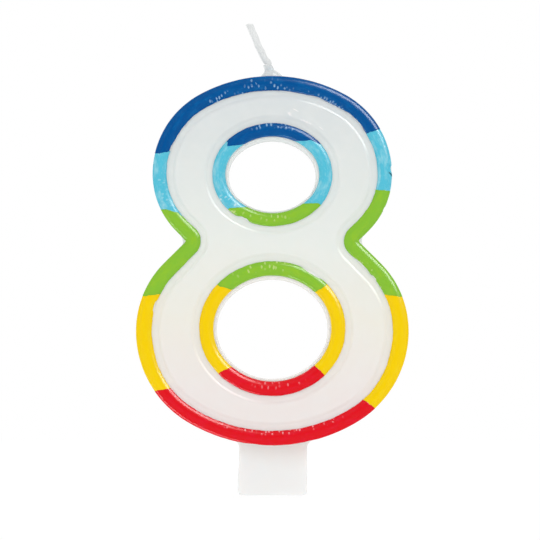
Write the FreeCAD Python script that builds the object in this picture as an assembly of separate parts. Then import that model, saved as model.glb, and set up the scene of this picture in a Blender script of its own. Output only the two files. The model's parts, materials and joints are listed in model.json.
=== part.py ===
"""Number birthday candle in the shape of an 8.

A cast wax digit stands on a flat stem that is pushed into a cake. Both loops of
the digit and its outer edge carry a raised rib, and each rib is covered by short
bands of coloured wax lacquer. Between the ribs the face swells into a soft pillow.
A braided cotton wick runs through the wax from the stem to the top, where it
leaves through a small collar of spilt wax and leans to one side.

Millimetres. X is across the digit, -Y is the front, +Z is up. The origin is the
middle of the stem's flat end, at half the candle's thickness.
"""

import FreeCAD
import Part
import math
import os

from FreeCAD import Vector

# ---- driving dimensions -------------------------------------------------------

# Digit outline: each lobe is a wide cap arc that runs into two tighter side arcs. Towards
# the waist each side arc goes on as a tighter shoulder, then as a straight arm.
TOP_Z = 76.1
UPPER_CAP_R = 27.5
UPPER_SIDE_R = 16.4
UPPER_SIDE_X = 5.3
UPPER_SHOULDER_R = 14.6
BOTTOM_Z = 9.1
LOWER_CAP_R = 29.7
LOWER_SIDE_R = 19.1
LOWER_SIDE_X = 5.6
LOWER_SHOULDER_R = 17.4
WAIST_TURN = 45  # degrees that each shoulder turns before its straight arm
WALL_NOTCH_R = 1.5  # rounding of the waist notch in the plain side wall
RIB_NOTCH_R = 0.35  # the rib turns the waist notch more sharply than the wall

# Holes: the edge of each hole's coloured band, as an oval of half width, half height
# and side arc, and the width of the wax rib under the band.
UPPER_HOLE = {"z": 58.4, "half_x": 8.5, "half_z": 6.95, "side_r": 6.0, "rib": 2.0}
LOWER_HOLE = {"z": 30.4, "half_x": 10.75, "half_z": 9.6, "side_r": 8.8, "rib": 2.3}
HOLE_LAND = 0.2  # plain wax between the rib and the hole, at the front
HOLE_TAPER = 0.55  # how much further the hole has closed in at the back

# Thickness, measured from the plane of the groove between rib and pillow.
BACK_Y = 4.6
FLOOR_Y = -3.4
RIB_HEIGHT = 1.0
COAT_THICKNESS = 0.2
RIB_WIDTH = 2.5
RIB_EDGE_R = 0.45
COAT_SKIRT = 1.2  # how far the lacquer runs down the outer side wall
COAT_PROUD = 0.15  # how far it stands out from that wall
PILLOW_HEIGHT = 0.9
PILLOW_SHOULDER_R = 2.6
PILLOW_INSET = 0.1  # from the rib's edge to the pillow's buried outline
BACK_EDGE_R = 0.8

# Stem.
STEM_WIDTH = 12.6
STEM_THICKNESS = 6.0
STEM_CORNER_R = 0.8
STEM_EDGE_R = 0.7
STEM_ROOT_R = 0.9

# Wick.
WICK_R = 0.65
WICK_LEAN = 24.5  # degrees from vertical, towards -X
WICK_PIVOT = Vector(-0.92, 0, 78.4)  # where the wick leaves its collar and bends
WICK_FREE_LENGTH = 8.0  # from the pivot to the cut end
WICK_CLEARANCE = 0.05
WICK_SWING = (-25, 75)  # degrees about +Y from the lean it stands at
# The buried run, from the pivot down the +X side of both loops to the stem, as X, Z.
WICK_ROUTE = [
    (0.0, 76.3),
    (0.9, 71.6),
    (8.4, 69.4),
    (14.4, 62.2),
    (13.6, 51.2),
    (14.2, 41.4),
    (17.6, 31.6),
    (14.6, 20.8),
    (6.6, 15.6),
    (0.6, 12.0),
    (0.0, 4.0),
]

# Collar of wax round the foot of the free wick: radius and distance below the pivot.
COLLAR_PROFILE = [(0.95, 0.15), (1.05, 0.9), (1.35, 1.6), (2.1, 2.25), (2.3, 3.6)]

# Where one colour of lacquer stops and the next starts. Each joint is a straight
# edge across the rib: the angle round its loop's middle, and the edge's own slope.
JOINTS = {
    "rim": {
        "navy_sky_left": (169.5, 5.0),
        "navy_sky_right": (22.5, 20.0),
        "sky_green_left": (199.2, -6.0),
        "sky_green_right": (-8.2, -5.0),
        "green_yellow_left": (163.8, 4.0),
        "green_yellow_right": (15.9, -5.0),
        "yellow_red_left": (208.0, 13.0),
        "yellow_red_right": (-36.7, -39.0),
    },
    "upper_hole": {
        "navy_sky_left": (143.9, 6.0),
        "navy_sky_right": (45.5, 5.0),
        "sky_green_left": (223.5, 3.5),
        "sky_green_right": (-35.7, 0.0),
    },
    "lower_hole": {
        "green_yellow_left": (139.5, -17.0),
        "green_yellow_right": (39.0, 31.0),
        "yellow_red_left": (221.0, 25.0),
        "yellow_red_right": (-41.0, -42.0),
    },
}

# Which joints bound each band, going clockwise from its first to its second.
BANDS = {
    "rim": {
        "navy": ("navy_sky_left", "navy_sky_right"),
        "sky_right": ("navy_sky_right", "sky_green_right"),
        "green_right": ("sky_green_right", "green_yellow_right"),
        "yellow_right": ("green_yellow_right", "yellow_red_right"),
        "red": ("yellow_red_right", "yellow_red_left"),
        "yellow_left": ("yellow_red_left", "green_yellow_left"),
        "green_left": ("green_yellow_left", "sky_green_left"),
        "sky_left": ("sky_green_left", "navy_sky_left"),
    },
    "upper_hole": {
        "navy": ("navy_sky_left", "navy_sky_right"),
        "sky_right": ("navy_sky_right", "sky_green_right"),
        "green": ("sky_green_right", "sky_green_left"),
        "sky_left": ("sky_green_left", "navy_sky_left"),
    },
    "lower_hole": {
        "green": ("green_yellow_left", "green_yellow_right"),
        "yellow_right": ("green_yellow_right", "yellow_red_right"),
        "red": ("yellow_red_right", "yellow_red_left"),
        "yellow_left": ("yellow_red_left", "green_yellow_left"),
    },
}

TOLERANCE = 1e-4
FAR = 60.0  # beyond every edge of the digit
FRONT = Vector(0, -1, 0)


# ---- outlines in the XZ plane -------------------------------------------------


def polar(centre, radius, angle):
    """The point at an angle in degrees round a centre, in the XZ plane."""
    a = math.radians(angle)
    return centre + Vector(radius * math.cos(a), 0, radius * math.sin(a))


def bearing(start, end):
    """The angle in degrees from one point to another, in the XZ plane."""
    return math.degrees(math.atan2(end.z - start.z, end.x - start.x))


def arc(centre, radius, first, last):
    """An arc from one angle to another, which may run either way."""
    ends = [polar(centre, radius, a) for a in (first, (first + last) / 2, last)]
    return Part.Arc(*ends).toShape()


def mirrored(point):
    """A point's mirror image across the middle of the digit."""
    return Vector(-point.x, point.y, point.z)


def side_centre_z(cap_z, cap_r, side_r, side_x, towards):
    """The height of a side arc's centre that makes it run smoothly into its cap arc."""
    return cap_z + towards * math.sqrt((cap_r - side_r) ** 2 - side_x**2)


UPPER_CAP = Vector(0, 0, TOP_Z - UPPER_CAP_R)
LOWER_CAP = Vector(0, 0, BOTTOM_Z + LOWER_CAP_R)
UPPER_SIDE = Vector(
    UPPER_SIDE_X, 0, side_centre_z(UPPER_CAP.z, UPPER_CAP_R, UPPER_SIDE_R, UPPER_SIDE_X, 1)
)
LOWER_SIDE = Vector(
    LOWER_SIDE_X, 0, side_centre_z(LOWER_CAP.z, LOWER_CAP_R, LOWER_SIDE_R, LOWER_SIDE_X, -1)
)


UPPER_SHOULDER = UPPER_SIDE + Vector(UPPER_SIDE_R - UPPER_SHOULDER_R, 0, 0)
LOWER_SHOULDER = LOWER_SIDE + Vector(LOWER_SIDE_R - LOWER_SHOULDER_R, 0, 0)


def notch_centre(notch_r):
    """The middle of the waist notch's arc, which touches both straight arms."""
    up, down = polar(Vector(), 1, -WAIST_TURN), polar(Vector(), 1, WAIST_TURN)
    from_upper = UPPER_SHOULDER_R + notch_r + up.dot(UPPER_SHOULDER)
    from_lower = LOWER_SHOULDER_R + notch_r + down.dot(LOWER_SHOULDER)
    x = (from_upper + from_lower) / (2 * up.x)
    return Vector(x, 0, (from_lower - from_upper) / (2 * down.z))


def joined(pieces):
    """Arcs in walking order as edges, with a straight line between any that don't meet."""
    ends = [(polar(c, r, first), polar(c, r, last)) for c, r, first, last in pieces]
    edges = []
    for index, piece in enumerate(pieces):
        edges.append(arc(*piece))
        end, start = ends[index][1], ends[(index + 1) % len(pieces)][0]
        if (start - end).Length > TOLERANCE:
            edges.append(Part.LineSegment(end, start).toShape())
    return edges


def digit_outline(inset, notch_r):
    """The digit's outer edge, moved inwards by inset, as a closed wire."""
    cap_up, cap_down = bearing(UPPER_CAP, UPPER_SIDE), bearing(LOWER_CAP, LOWER_SIDE)
    right = [
        (UPPER_SIDE, UPPER_SIDE_R - inset, cap_up, 0),
        (UPPER_SHOULDER, UPPER_SHOULDER_R - inset, 0, -WAIST_TURN),
        (notch_centre(notch_r), notch_r + inset, 180 - WAIST_TURN, 180 + WAIST_TURN),
        (LOWER_SHOULDER, LOWER_SHOULDER_R - inset, WAIST_TURN, 0),
        (LOWER_SIDE, LOWER_SIDE_R - inset, 0, cap_down),
    ]
    left = [(mirrored(c), r, 180 - last, 180 - first) for c, r, first, last in reversed(right)]
    cap = (UPPER_CAP, UPPER_CAP_R - inset, 180 - cap_up, cap_up)
    base = (LOWER_CAP, LOWER_CAP_R - inset, cap_down, -180 - cap_down)
    return Part.Wire(joined([cap, *right, base, *left]))


def hole_outline(hole, outset):
    """An oval round a hole, moved outwards from the edge of its rib by outset."""
    half_x, half_z, side_r = hole["half_x"], hole["half_z"], hole["side_r"]
    reach = half_x - side_r
    cap_r = (reach**2 + half_z**2 - side_r**2) / (2 * (half_z - side_r))
    middle = Vector(0, 0, hole["z"])
    side = middle + Vector(reach, 0, 0)
    top = middle + Vector(0, 0, half_z - cap_r)
    bottom = middle - Vector(0, 0, half_z - cap_r)
    join = bearing(top, side)
    return Part.Wire(
        [
            arc(top, cap_r + outset, 180 - join, join),
            arc(side, side_r + outset, join, -join),
            arc(bottom, cap_r + outset, -join, join - 180),
            arc(mirrored(side), side_r + outset, 180 + join, 180 - join),
        ]
    )


def at_depth(shape, y):
    """A copy of a flat outline, moved to a depth."""
    moved = shape.copy()
    moved.translate(Vector(0, y, 0))
    return moved


def plate(wires, back_y, front_y):
    """A flat solid between two depths, from an outline and the outlines of its holes."""
    face = Part.makeFace([at_depth(w, back_y) for w in wires], "Part::FaceMakerBullseye")
    return face.extrude(FRONT * (back_y - front_y))


def edges_at(solid, y):
    """The edges of a solid that lie at one depth."""
    return [e for e in solid.Edges if all(abs(v.Y - y) < TOLERANCE for v in e.Vertexes)]


# ---- wax body -----------------------------------------------------------------


def hole_cutter(hole):
    """The tapered plug that a hole leaves, a little longer than the wax is thick."""
    front = at_depth(hole_outline(hole, -HOLE_LAND), FLOOR_Y)
    back = at_depth(hole_outline(hole, -HOLE_LAND - HOLE_TAPER), BACK_Y)
    return Part.makeLoft([front, back], True, True)


def slab():
    """The plain digit up to the groove floor, with both holes and a rounded back edge."""
    body = plate([digit_outline(0, WALL_NOTCH_R)], BACK_Y, FLOOR_Y)
    for hole in (UPPER_HOLE, LOWER_HOLE):
        body = body.cut(hole_cutter(hole))
    return body.makeFillet(BACK_EDGE_R, edges_at(body, BACK_Y))


def rib(outer, inner):
    """A raised rib between two outlines, standing on the groove floor."""
    front_y = FLOOR_Y - RIB_HEIGHT
    raw = plate([outer, inner], FLOOR_Y + 1, front_y)
    return raw.makeFillet(RIB_EDGE_R, edges_at(raw, front_y))


def ribs():
    """The three ribs: round the digit, and round each hole."""
    edge = COAT_THICKNESS
    made = [rib(digit_outline(0, RIB_NOTCH_R), digit_outline(RIB_WIDTH, RIB_NOTCH_R))]
    for hole in (UPPER_HOLE, LOWER_HOLE):
        outer = hole_outline(hole, edge + hole["rib"])
        made.append(rib(outer, hole_outline(hole, edge)))
    return made


def pillow():
    """The swollen face between the ribs."""
    front_y = FLOOR_Y - PILLOW_HEIGHT
    around_rib = COAT_THICKNESS + PILLOW_INSET
    wires = [digit_outline(RIB_WIDTH + PILLOW_INSET, RIB_NOTCH_R)]
    wires += [hole_outline(h, h["rib"] + around_rib) for h in (UPPER_HOLE, LOWER_HOLE)]
    raw = plate(wires, front_y + PILLOW_SHOULDER_R + 1, front_y)
    return raw.makeFillet(PILLOW_SHOULDER_R, edges_at(raw, front_y))


def stem():
    """The flat stem, with small curved brackets where it meets the digit."""
    half, corner, root = STEM_WIDTH / 2, STEM_CORNER_R, STEM_ROOT_R
    bracket_x = half + root
    reach = LOWER_CAP_R + root
    bracket = Vector(bracket_x, 0, LOWER_CAP.z - math.sqrt(reach**2 - bracket_x**2))
    meets = bearing(bracket, LOWER_CAP)
    corner_middle = Vector(half - corner, 0, corner)
    shoulder = polar(bracket, root, meets)
    buried = Vector(shoulder.x, 0, shoulder.z + 2)
    right = [
        arc(corner_middle, corner, -90, 0),
        Part.LineSegment(Vector(half, 0, corner), Vector(half, 0, bracket.z)).toShape(),
        arc(bracket, root, 180, meets),
        Part.LineSegment(shoulder, buried).toShape(),
    ]
    left = [edge.mirror(Vector(0, 0, 0), Vector(1, 0, 0)) for edge in right]
    foot = Part.LineSegment(
        Vector(-corner_middle.x, 0, 0), Vector(corner_middle.x, 0, 0)
    ).toShape()
    lid = Part.LineSegment(buried, mirrored(buried)).toShape()
    outline = Part.Wire(Part.__sortEdges__([foot, lid] + right + left))
    front_y = BACK_Y - STEM_THICKNESS
    raw = plate([outline], BACK_Y, front_y)
    soft = [
        e
        for e in edges_at(raw, front_y) + edges_at(raw, BACK_Y)
        if e.BoundBox.ZMax < bracket.z + TOLERANCE and e.BoundBox.ZMax > TOLERANCE
    ]
    return raw.makeFillet(STEM_EDGE_R, soft)


# ---- wick ---------------------------------------------------------------------


def wick_direction(swing=0.0):
    """The way the free wick points when it is swung from its lean about +Y."""
    angle = math.radians(swing - WICK_LEAN)
    return Vector(math.sin(angle), 0, math.cos(angle))


def rounded_path(points):
    """Straight runs through the points, joined by arcs that touch both runs."""
    edges, at = [], points[0]
    for before, corner, after in zip(points, points[1:], points[2:]):
        back, ahead = (before - corner), (after - corner)
        half_turn = (math.pi - back.getAngle(ahead)) / 2
        trim = 0.45 * min(back.Length, ahead.Length)
        radius = trim / math.tan(half_turn)
        start = corner + back.normalize() * trim
        end = corner + ahead.normalize() * trim
        inward = (back + ahead).normalize()
        middle = corner + inward * (radius / math.cos(half_turn) - radius)
        edges.append(Part.LineSegment(at, start).toShape())
        edges.append(Part.Arc(start, middle, end).toShape())
        at = end
        print(f"wick bend radius {radius:.1f} mm")
    edges.append(Part.LineSegment(at, points[-1]).toShape())
    return Part.Wire(edges)


def buried_wick():
    """The wick inside the wax, from the stem to the collar's mouth."""
    points = [WICK_PIVOT] + [Vector(x, 0, z) for x, z in WICK_ROUTE]
    path = rounded_path(points)
    start = Part.Wire([Part.Circle(WICK_PIVOT, wick_direction() * -1, WICK_R).toShape()])
    tube = path.makePipeShell([start], True, False)
    expected = math.pi * WICK_R**2 * path.Length
    print(f"buried wick {path.Length:.1f} mm, volume ratio {tube.Volume / expected:.3f}")
    return tube


def free_wick(radius=WICK_R, swing=0.0):
    """The wick above the collar: a rod whose lower end is a ball round the pivot."""
    direction = wick_direction(swing)
    rod = Part.makeCylinder(radius, WICK_FREE_LENGTH, WICK_PIVOT, direction)
    return rod.fuse(Part.makeSphere(radius, WICK_PIVOT)).removeSplitter()


def swept_wick():
    """All the room that the free wick needs while it swings, with clearance."""
    first, last = WICK_SWING
    steps = 20
    room = Part.makeSphere(WICK_R + WICK_CLEARANCE, WICK_PIVOT)
    for n in range(steps + 1):
        swing = first + (last - first) * n / steps
        room = room.fuse(free_wick(WICK_R + WICK_CLEARANCE, swing))
    return room


def collar(wax, rim_coat):
    """The wax collar, turned round the leaning wick and seated behind the rim."""
    profile = [Vector(radius, 0, -depth) for radius, depth in COLLAR_PROFILE]
    curve = Part.BSplineCurve()
    curve.interpolate(profile)
    top, bottom = Vector(0, 0, profile[0].z), Vector(0, 0, profile[-1].z)
    section = Part.Wire(
        [
            Part.LineSegment(top, profile[0]).toShape(),
            curve.toShape(),
            Part.LineSegment(profile[-1], bottom).toShape(),
            Part.LineSegment(bottom, top).toShape(),
        ]
    )
    turned = Part.Face(section).revolve(Vector(0, 0, 0), Vector(0, 0, 1), 360)
    turned.rotate(Vector(0, 0, 0), Vector(0, 1, 0), -WICK_LEAN)
    turned.translate(WICK_PIVOT)
    return turned.cut(wax).cut(rim_coat)


# ---- lacquer bands ------------------------------------------------------------


def coat(outer, inner, skirt):
    """The whole lacquer coat over one rib, before the wax inside it is taken out."""
    front_y = FLOOR_Y - RIB_HEIGHT - COAT_THICKNESS
    raw = plate([outer, inner], FLOOR_Y + skirt, front_y)
    return raw.makeFillet(RIB_EDGE_R + COAT_THICKNESS, edges_at(raw, front_y))


def coats(wax):
    """The three coats, one for each rib."""
    inner = digit_outline(RIB_WIDTH + COAT_THICKNESS, RIB_NOTCH_R)
    made = {"rim": coat(digit_outline(-COAT_PROUD, RIB_NOTCH_R), inner, COAT_SKIRT)}
    for name, hole in (("upper_hole", UPPER_HOLE), ("lower_hole", LOWER_HOLE)):
        outer = hole_outline(hole, hole["rib"] + 2 * COAT_THICKNESS)
        made[name] = coat(outer, hole_outline(hole, 0), 0)
    return {name: shell.cut(wax) for name, shell in made.items()}


def loop_centre(loop, joint):
    """The point that a joint's angle is measured round."""
    if loop != "rim":
        return Vector(0, 0, (UPPER_HOLE if loop == "upper_hole" else LOWER_HOLE)["z"])
    upper = joint.startswith("navy") or joint.startswith("sky")
    return Vector(0, 0, UPPER_SIDE.z if upper else LOWER_SIDE.z)


def loop_line(loop):
    """The middle line of a rib, as one wire."""
    if loop == "rim":
        return digit_outline(RIB_WIDTH / 2, RIB_NOTCH_R)
    hole = UPPER_HOLE if loop == "upper_hole" else LOWER_HOLE
    return hole_outline(hole, COAT_THICKNESS + hole["rib"] / 2)


def joint_edge(loop, joint):
    """A joint's loop centre, its inner and outer end, and a point far outside it."""
    angle, slope = JOINTS[loop][joint]
    centre = loop_centre(loop, joint)
    ray = Part.LineSegment(centre, polar(centre, FAR, angle)).toShape()
    crossing = loop_line(loop).distToShape(ray)[1][0][0]
    outward = Vector(math.cos(math.radians(slope)), 0, math.sin(math.radians(slope)))
    if outward.dot(crossing - centre) < 0:
        outward = outward * -1
    reach = RIB_WIDTH
    return centre, crossing - outward * reach, crossing + outward * reach, angle


def band_region(loop, first, last):
    """A thick wedge that holds one band: from the first joint clockwise to the last."""
    centre_a, in_a, out_a, angle_a = joint_edge(loop, first)
    centre_b, in_b, out_b, angle_b = joint_edge(loop, last)
    sweep = (angle_a - angle_b) % 360
    if centre_a != centre_b:
        sweep = 0
    points = [centre_a, in_a, out_a, polar(centre_a, FAR, angle_a)]
    if sweep:
        points.append(polar(centre_a, 2 * FAR, angle_a - sweep / 2))
    points += [polar(centre_b, FAR, angle_b), out_b, in_b]
    if centre_a != centre_b:
        points.append(centre_b)
    wire = Part.makePolygon(points + points[:1])
    return plate([wire], BACK_Y, FLOOR_Y - 3)


# ---- assembly -----------------------------------------------------------------


def build():
    """Every piece of the candle, by node name."""
    wax = slab()
    for piece in ribs() + [pillow(), stem()]:
        wax = wax.fuse(piece)
    wax = wax.removeSplitter()
    shells = coats(wax)
    core = buried_wick()
    swept = swept_wick()
    made = {"wick_collar": collar(wax, shells["rim"]).cut(core).cut(swept)}
    made["wick_buried"] = core.cut(swept)
    made["wick_free"] = free_wick()
    for loop, shell in shells.items():
        for band, joints in BANDS[loop].items():
            made[f"{loop}_coat_{band}"] = shell.common(band_region(loop, *joints))
    made["wax_body"] = wax.cut(core)
    return made


def main():
    """Builds the candle and writes one STEP file for each piece."""
    os.makedirs("parts", exist_ok=True)
    for name, shape in build().items():
        solids = shape.Solids
        print(f"{name}: {len(solids)} solid, {shape.Volume:.2f} mm3, valid {shape.isValid()}")
        whole = solids[0] if len(solids) == 1 else Part.makeCompound(solids)
        whole.exportStep(f"parts/{name}.step")


main()
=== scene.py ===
"""The looks of a number birthday candle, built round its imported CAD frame.

The wax digit, its sixteen bands of dyed lacquer, the wick and the collar of wax
round the wick's foot are each modelled as their own mesh, in metres, in the CAD
frame: +X across the digit, -Y out of the painted face, +Z up. Sizes inside the
classes are in millimetres and are turned into metres when a mesh is made.
"""

from __future__ import annotations

import json
import logging
import math
from collections.abc import Iterable, Sequence
from dataclasses import dataclass, field
from enum import Enum
from functools import cache

import bmesh
import bpy
import numpy as np
from bpy.types import Material, Node, NodeSocket, NodeTree, Object
from mathutils import Matrix, Vector, noise
from mathutils.geometry import delaunay_2d_cdt

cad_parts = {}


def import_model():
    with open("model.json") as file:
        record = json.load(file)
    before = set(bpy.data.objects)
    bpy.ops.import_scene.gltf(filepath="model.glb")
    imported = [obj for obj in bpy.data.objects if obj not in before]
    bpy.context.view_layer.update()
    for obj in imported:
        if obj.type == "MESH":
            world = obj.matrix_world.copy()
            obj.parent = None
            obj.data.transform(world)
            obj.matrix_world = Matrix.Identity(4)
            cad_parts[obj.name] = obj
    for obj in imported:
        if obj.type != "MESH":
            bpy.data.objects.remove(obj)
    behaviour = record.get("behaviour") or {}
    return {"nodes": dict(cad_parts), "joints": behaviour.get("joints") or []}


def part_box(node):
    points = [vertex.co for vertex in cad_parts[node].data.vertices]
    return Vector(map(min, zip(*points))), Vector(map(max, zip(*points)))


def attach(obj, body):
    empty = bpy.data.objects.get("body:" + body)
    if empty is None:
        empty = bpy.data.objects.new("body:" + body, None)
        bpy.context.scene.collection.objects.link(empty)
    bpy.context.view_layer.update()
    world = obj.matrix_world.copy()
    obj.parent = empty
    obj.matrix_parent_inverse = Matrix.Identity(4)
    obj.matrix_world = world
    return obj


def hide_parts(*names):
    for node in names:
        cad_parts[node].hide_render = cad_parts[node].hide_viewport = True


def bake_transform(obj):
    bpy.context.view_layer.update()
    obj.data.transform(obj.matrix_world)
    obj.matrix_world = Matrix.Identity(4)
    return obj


MM = 0.001
CANDLE_BODY = "candle"
VIEW_CENTRE = Vector((-0.00042, 0.0, 0.0410))  # metres

log = logging.getLogger("candle")


# ---- small helpers ------------------------------------------------------------


def srgb(red: int, green: int, blue: int) -> tuple[float, float, float, float]:
    """Turns a screen colour into the linear colour that shaders use.

    Args:
        red: Red, 0 to 255.
        green: Green, 0 to 255.
        blue: Blue, 0 to 255.

    Returns:
        The linear colour with an alpha of 1.
    """

    def linear(value: int) -> float:
        """One channel, 0 to 1."""
        share = value / 255
        return share / 12.92 if share <= 0.04045 else ((share + 0.055) / 1.055) ** 2.4

    return linear(red), linear(green), linear(blue), 1.0


def smoothstep(low: float, high: float, value: np.ndarray | float) -> np.ndarray:
    """Rises smoothly from 0 at low to 1 at high."""
    share = np.clip((np.asarray(value, float) - low) / (high - low), 0, 1)
    return share * share * (3 - 2 * share)


def wander(station: np.ndarray, seed: int, wavelength: float) -> np.ndarray:
    """A smooth random line along a path, as a hand-led brush leaves it.

    Args:
        station: Distances along the path, in millimetres.
        seed: Which random line it is.
        wavelength: The length of its longest wave, in millimetres.

    Returns:
        One value for each station, mostly between -1 and 1.
    """
    octaves, shorter, fainter, spread = 4, 1.9, 1.5, 2.2
    random = np.random.default_rng(seed)
    total = np.zeros_like(np.asarray(station, float))
    for octave in range(octaves):
        length = wavelength / shorter**octave
        phase = random.uniform(0, math.tau)
        total += np.sin(math.tau * station / length + phase) / fainter**octave
    return total / spread


def rolling(x: np.ndarray, z: np.ndarray, wave: float, seed: float) -> np.ndarray:
    """Smooth noise over the face, about -1 to 1, with waves of so many millimetres."""
    return np.array([noise.noise(Vector((a / wave, b / wave, seed))) for a, b in zip(x, z)])


def gaps_to(cloud: np.ndarray, x: np.ndarray, z: np.ndarray) -> np.ndarray:
    """How far each place is from the nearest point of a cloud of X and Z rows."""
    return np.array([np.hypot(cloud[0] - a, cloud[1] - b).min() for a, b in zip(x, z)])


def hump(place: float, middle: float, width: float) -> float:
    """A smooth hump, 1 at its middle."""
    return math.exp(-(((place - middle) / width) ** 2))


def new_object(name: str, data: bpy.types.ID) -> Object:
    """Makes an object and links it to the scene.

    Args:
        name: Its name.
        data: Its mesh, curve, light or camera.

    Returns:
        The object.
    """
    made = bpy.data.objects.new(name, data)
    bpy.context.scene.collection.objects.link(made)
    return made


def mesh_piece(name: str, points: np.ndarray, faces: Iterable[Sequence[int]]) -> Object:
    """Makes an object from points in millimetres.

    Args:
        name: The piece's name.
        points: An array of x, y, z in millimetres.
        faces: Corner numbers of each face.

    Returns:
        The new object, shaded smooth, with its normals pointing outwards.
    """
    mesh = bpy.data.meshes.new(name)
    mesh.from_pydata((np.asarray(points, float) * MM).tolist(), [], list(faces))
    mesh.validate()
    shell = bmesh.new()
    shell.from_mesh(mesh)
    bmesh.ops.recalc_face_normals(shell, faces=shell.faces)
    shell.to_mesh(mesh)
    shell.free()
    mesh.polygons.foreach_set("use_smooth", [True] * len(mesh.polygons))
    return new_object(name, mesh)


def set_attribute(piece: Object, name: str, values: np.ndarray) -> None:
    """Stores one number, or one vector, for each point of a piece.

    Args:
        piece: A mesh object.
        name: The attribute's name.
        values: One row for each point.
    """
    kind = "FLOAT" if values.ndim == 1 else "FLOAT_VECTOR"
    attribute = piece.data.attributes.new(name, kind, "POINT")
    key = "value" if values.ndim == 1 else "vector"
    attribute.data.foreach_set(key, np.ascontiguousarray(values, np.float32).ravel())


def applied(piece: Object) -> Object:
    """Turns a piece and its modifiers into a plain mesh object of the same name.

    Args:
        piece: An object with modifiers, which is removed.

    Returns:
        The plain object.
    """
    graph = bpy.context.evaluated_depsgraph_get()
    mesh = bpy.data.meshes.new_from_object(piece.evaluated_get(graph), depsgraph=graph)
    name = piece.name
    old = piece.data
    bpy.data.objects.remove(piece)
    if isinstance(old, bpy.types.Mesh) and not old.users:
        bpy.data.meshes.remove(old)
    mesh.name = name
    return new_object(name, mesh)


def quad_strip(first: int, second: int, count: int, closed: bool = True) -> list[tuple]:
    """Quads between two rows of points.

    Args:
        first: The number of the first row's first point.
        second: The number of the second row's first point.
        count: How many points each row has.
        closed: Whether the rows are rings.

    Returns:
        The corner numbers of each quad.
    """
    steps = count if closed else count - 1
    return [
        (first + k, first + (k + 1) % count, second + (k + 1) % count, second + k)
        for k in range(steps)
    ]


# ---- outlines -----------------------------------------------------------------


@dataclass(frozen=True)
class ArcSpan:
    """One arc of an outline, in the XZ plane.

    Depth runs from the outline into the wax. It makes the arc's radius grow where
    grow is 1 and shrink where it is -1.
    """

    x: float
    z: float
    radius: float
    first: float
    last: float
    grow: int


class Outline:
    """A closed chain of arcs that can be walked along, and stepped into the wax."""

    def __init__(self, spans: Sequence[ArcSpan], walk_depth: float) -> None:
        """Measures the chain.

        Args:
            spans: The arcs, clockwise.
            walk_depth: The depth at which distances along the outline are measured.
        """
        columns = [(s.x, s.z, s.radius, s.first, s.last, s.grow) for s in spans]
        self.x, self.z, self.radius, self.first, self.last, self.grow = np.array(columns).T
        turned = np.abs(self.last - self.first)
        self.lengths = turned * (self.radius + self.grow * walk_depth)
        self.starts = np.concatenate([[0], np.cumsum(self.lengths)[:-1]])
        self.total = float(self.lengths.sum())

    def spans_at(self, station: np.ndarray) -> tuple[np.ndarray, np.ndarray]:
        """Finds the span that each station lies on.

        Args:
            station: Distances along the outline.

        Returns:
            The spans' numbers, and how far along them the stations are, from 0 to 1.
        """
        wrapped = np.mod(station, self.total)
        index = np.searchsorted(self.starts, wrapped, side="right") - 1
        return index, (wrapped - self.starts[index]) / self.lengths[index]

    def on_span(
        self, index: np.ndarray, share: np.ndarray, depth: np.ndarray | float
    ) -> tuple[np.ndarray, np.ndarray]:
        """Finds points by the span that they are on.

        Args:
            index: The spans' numbers.
            share: How far along its span each point is, from 0 to 1.
            depth: Distances into the wax.

        Returns:
            Arrays of X and of Z.
        """
        angle = self.first[index] + share * (self.last[index] - self.first[index])
        radius = self.radius[index] + self.grow[index] * depth
        return self.x[index] + radius * np.cos(angle), self.z[index] + radius * np.sin(angle)

    def place(
        self, station: np.ndarray, depth: np.ndarray | float, swell: np.ndarray | float = 0.0
    ) -> tuple[np.ndarray, np.ndarray]:
        """X and Z of points given by station and depth. A plain outline has no swell."""
        index, share = self.spans_at(np.asarray(station, float))
        return self.on_span(index, share, depth)

    def ring(self, spacing: float) -> np.ndarray:
        """Stations round the outline, with one on every joint between its arcs.

        Args:
            spacing: The longest distance between two stations.

        Returns:
            The stations, in order.
        """
        fewest = 4
        parts = []
        for start, length in zip(self.starts, self.lengths):
            count = max(fewest, math.ceil(length / spacing))
            parts.append(start + np.arange(count) * length / count)
        return np.concatenate(parts)

    def station_at(self, centre_z: float, angle: float, depth: float) -> float:
        """The station seen at an angle from a point on the middle line.

        Args:
            centre_z: The height of that point.
            angle: The angle in degrees, anticlockwise from +X.
            depth: The depth at which it is looked for.

        Returns:
            The station, in millimetres.
        """
        steps = 8000
        stations = np.linspace(0, self.total, steps, endpoint=False)
        x, z = self.place(stations, depth)
        off = np.arctan2(z - centre_z, x) - math.radians(angle)
        return float(stations[np.argmin(np.abs((off + math.pi) % math.tau - math.pi))])


@dataclass(frozen=True)
class Narrowing:
    """How much narrower the rim's rib is at a few heights, as shares of its width."""

    heights: tuple[float, ...] = (12.0, 18.0, 26.0, 42.0, 52.0)
    shares: tuple[float, ...] = (0.1, 0.09, 0.0, 0.04, 0.1)

    def at(self, height: np.ndarray) -> np.ndarray:
        """What is left of the width at each height."""
        return 1 - np.interp(height, self.heights, self.shares)


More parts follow.
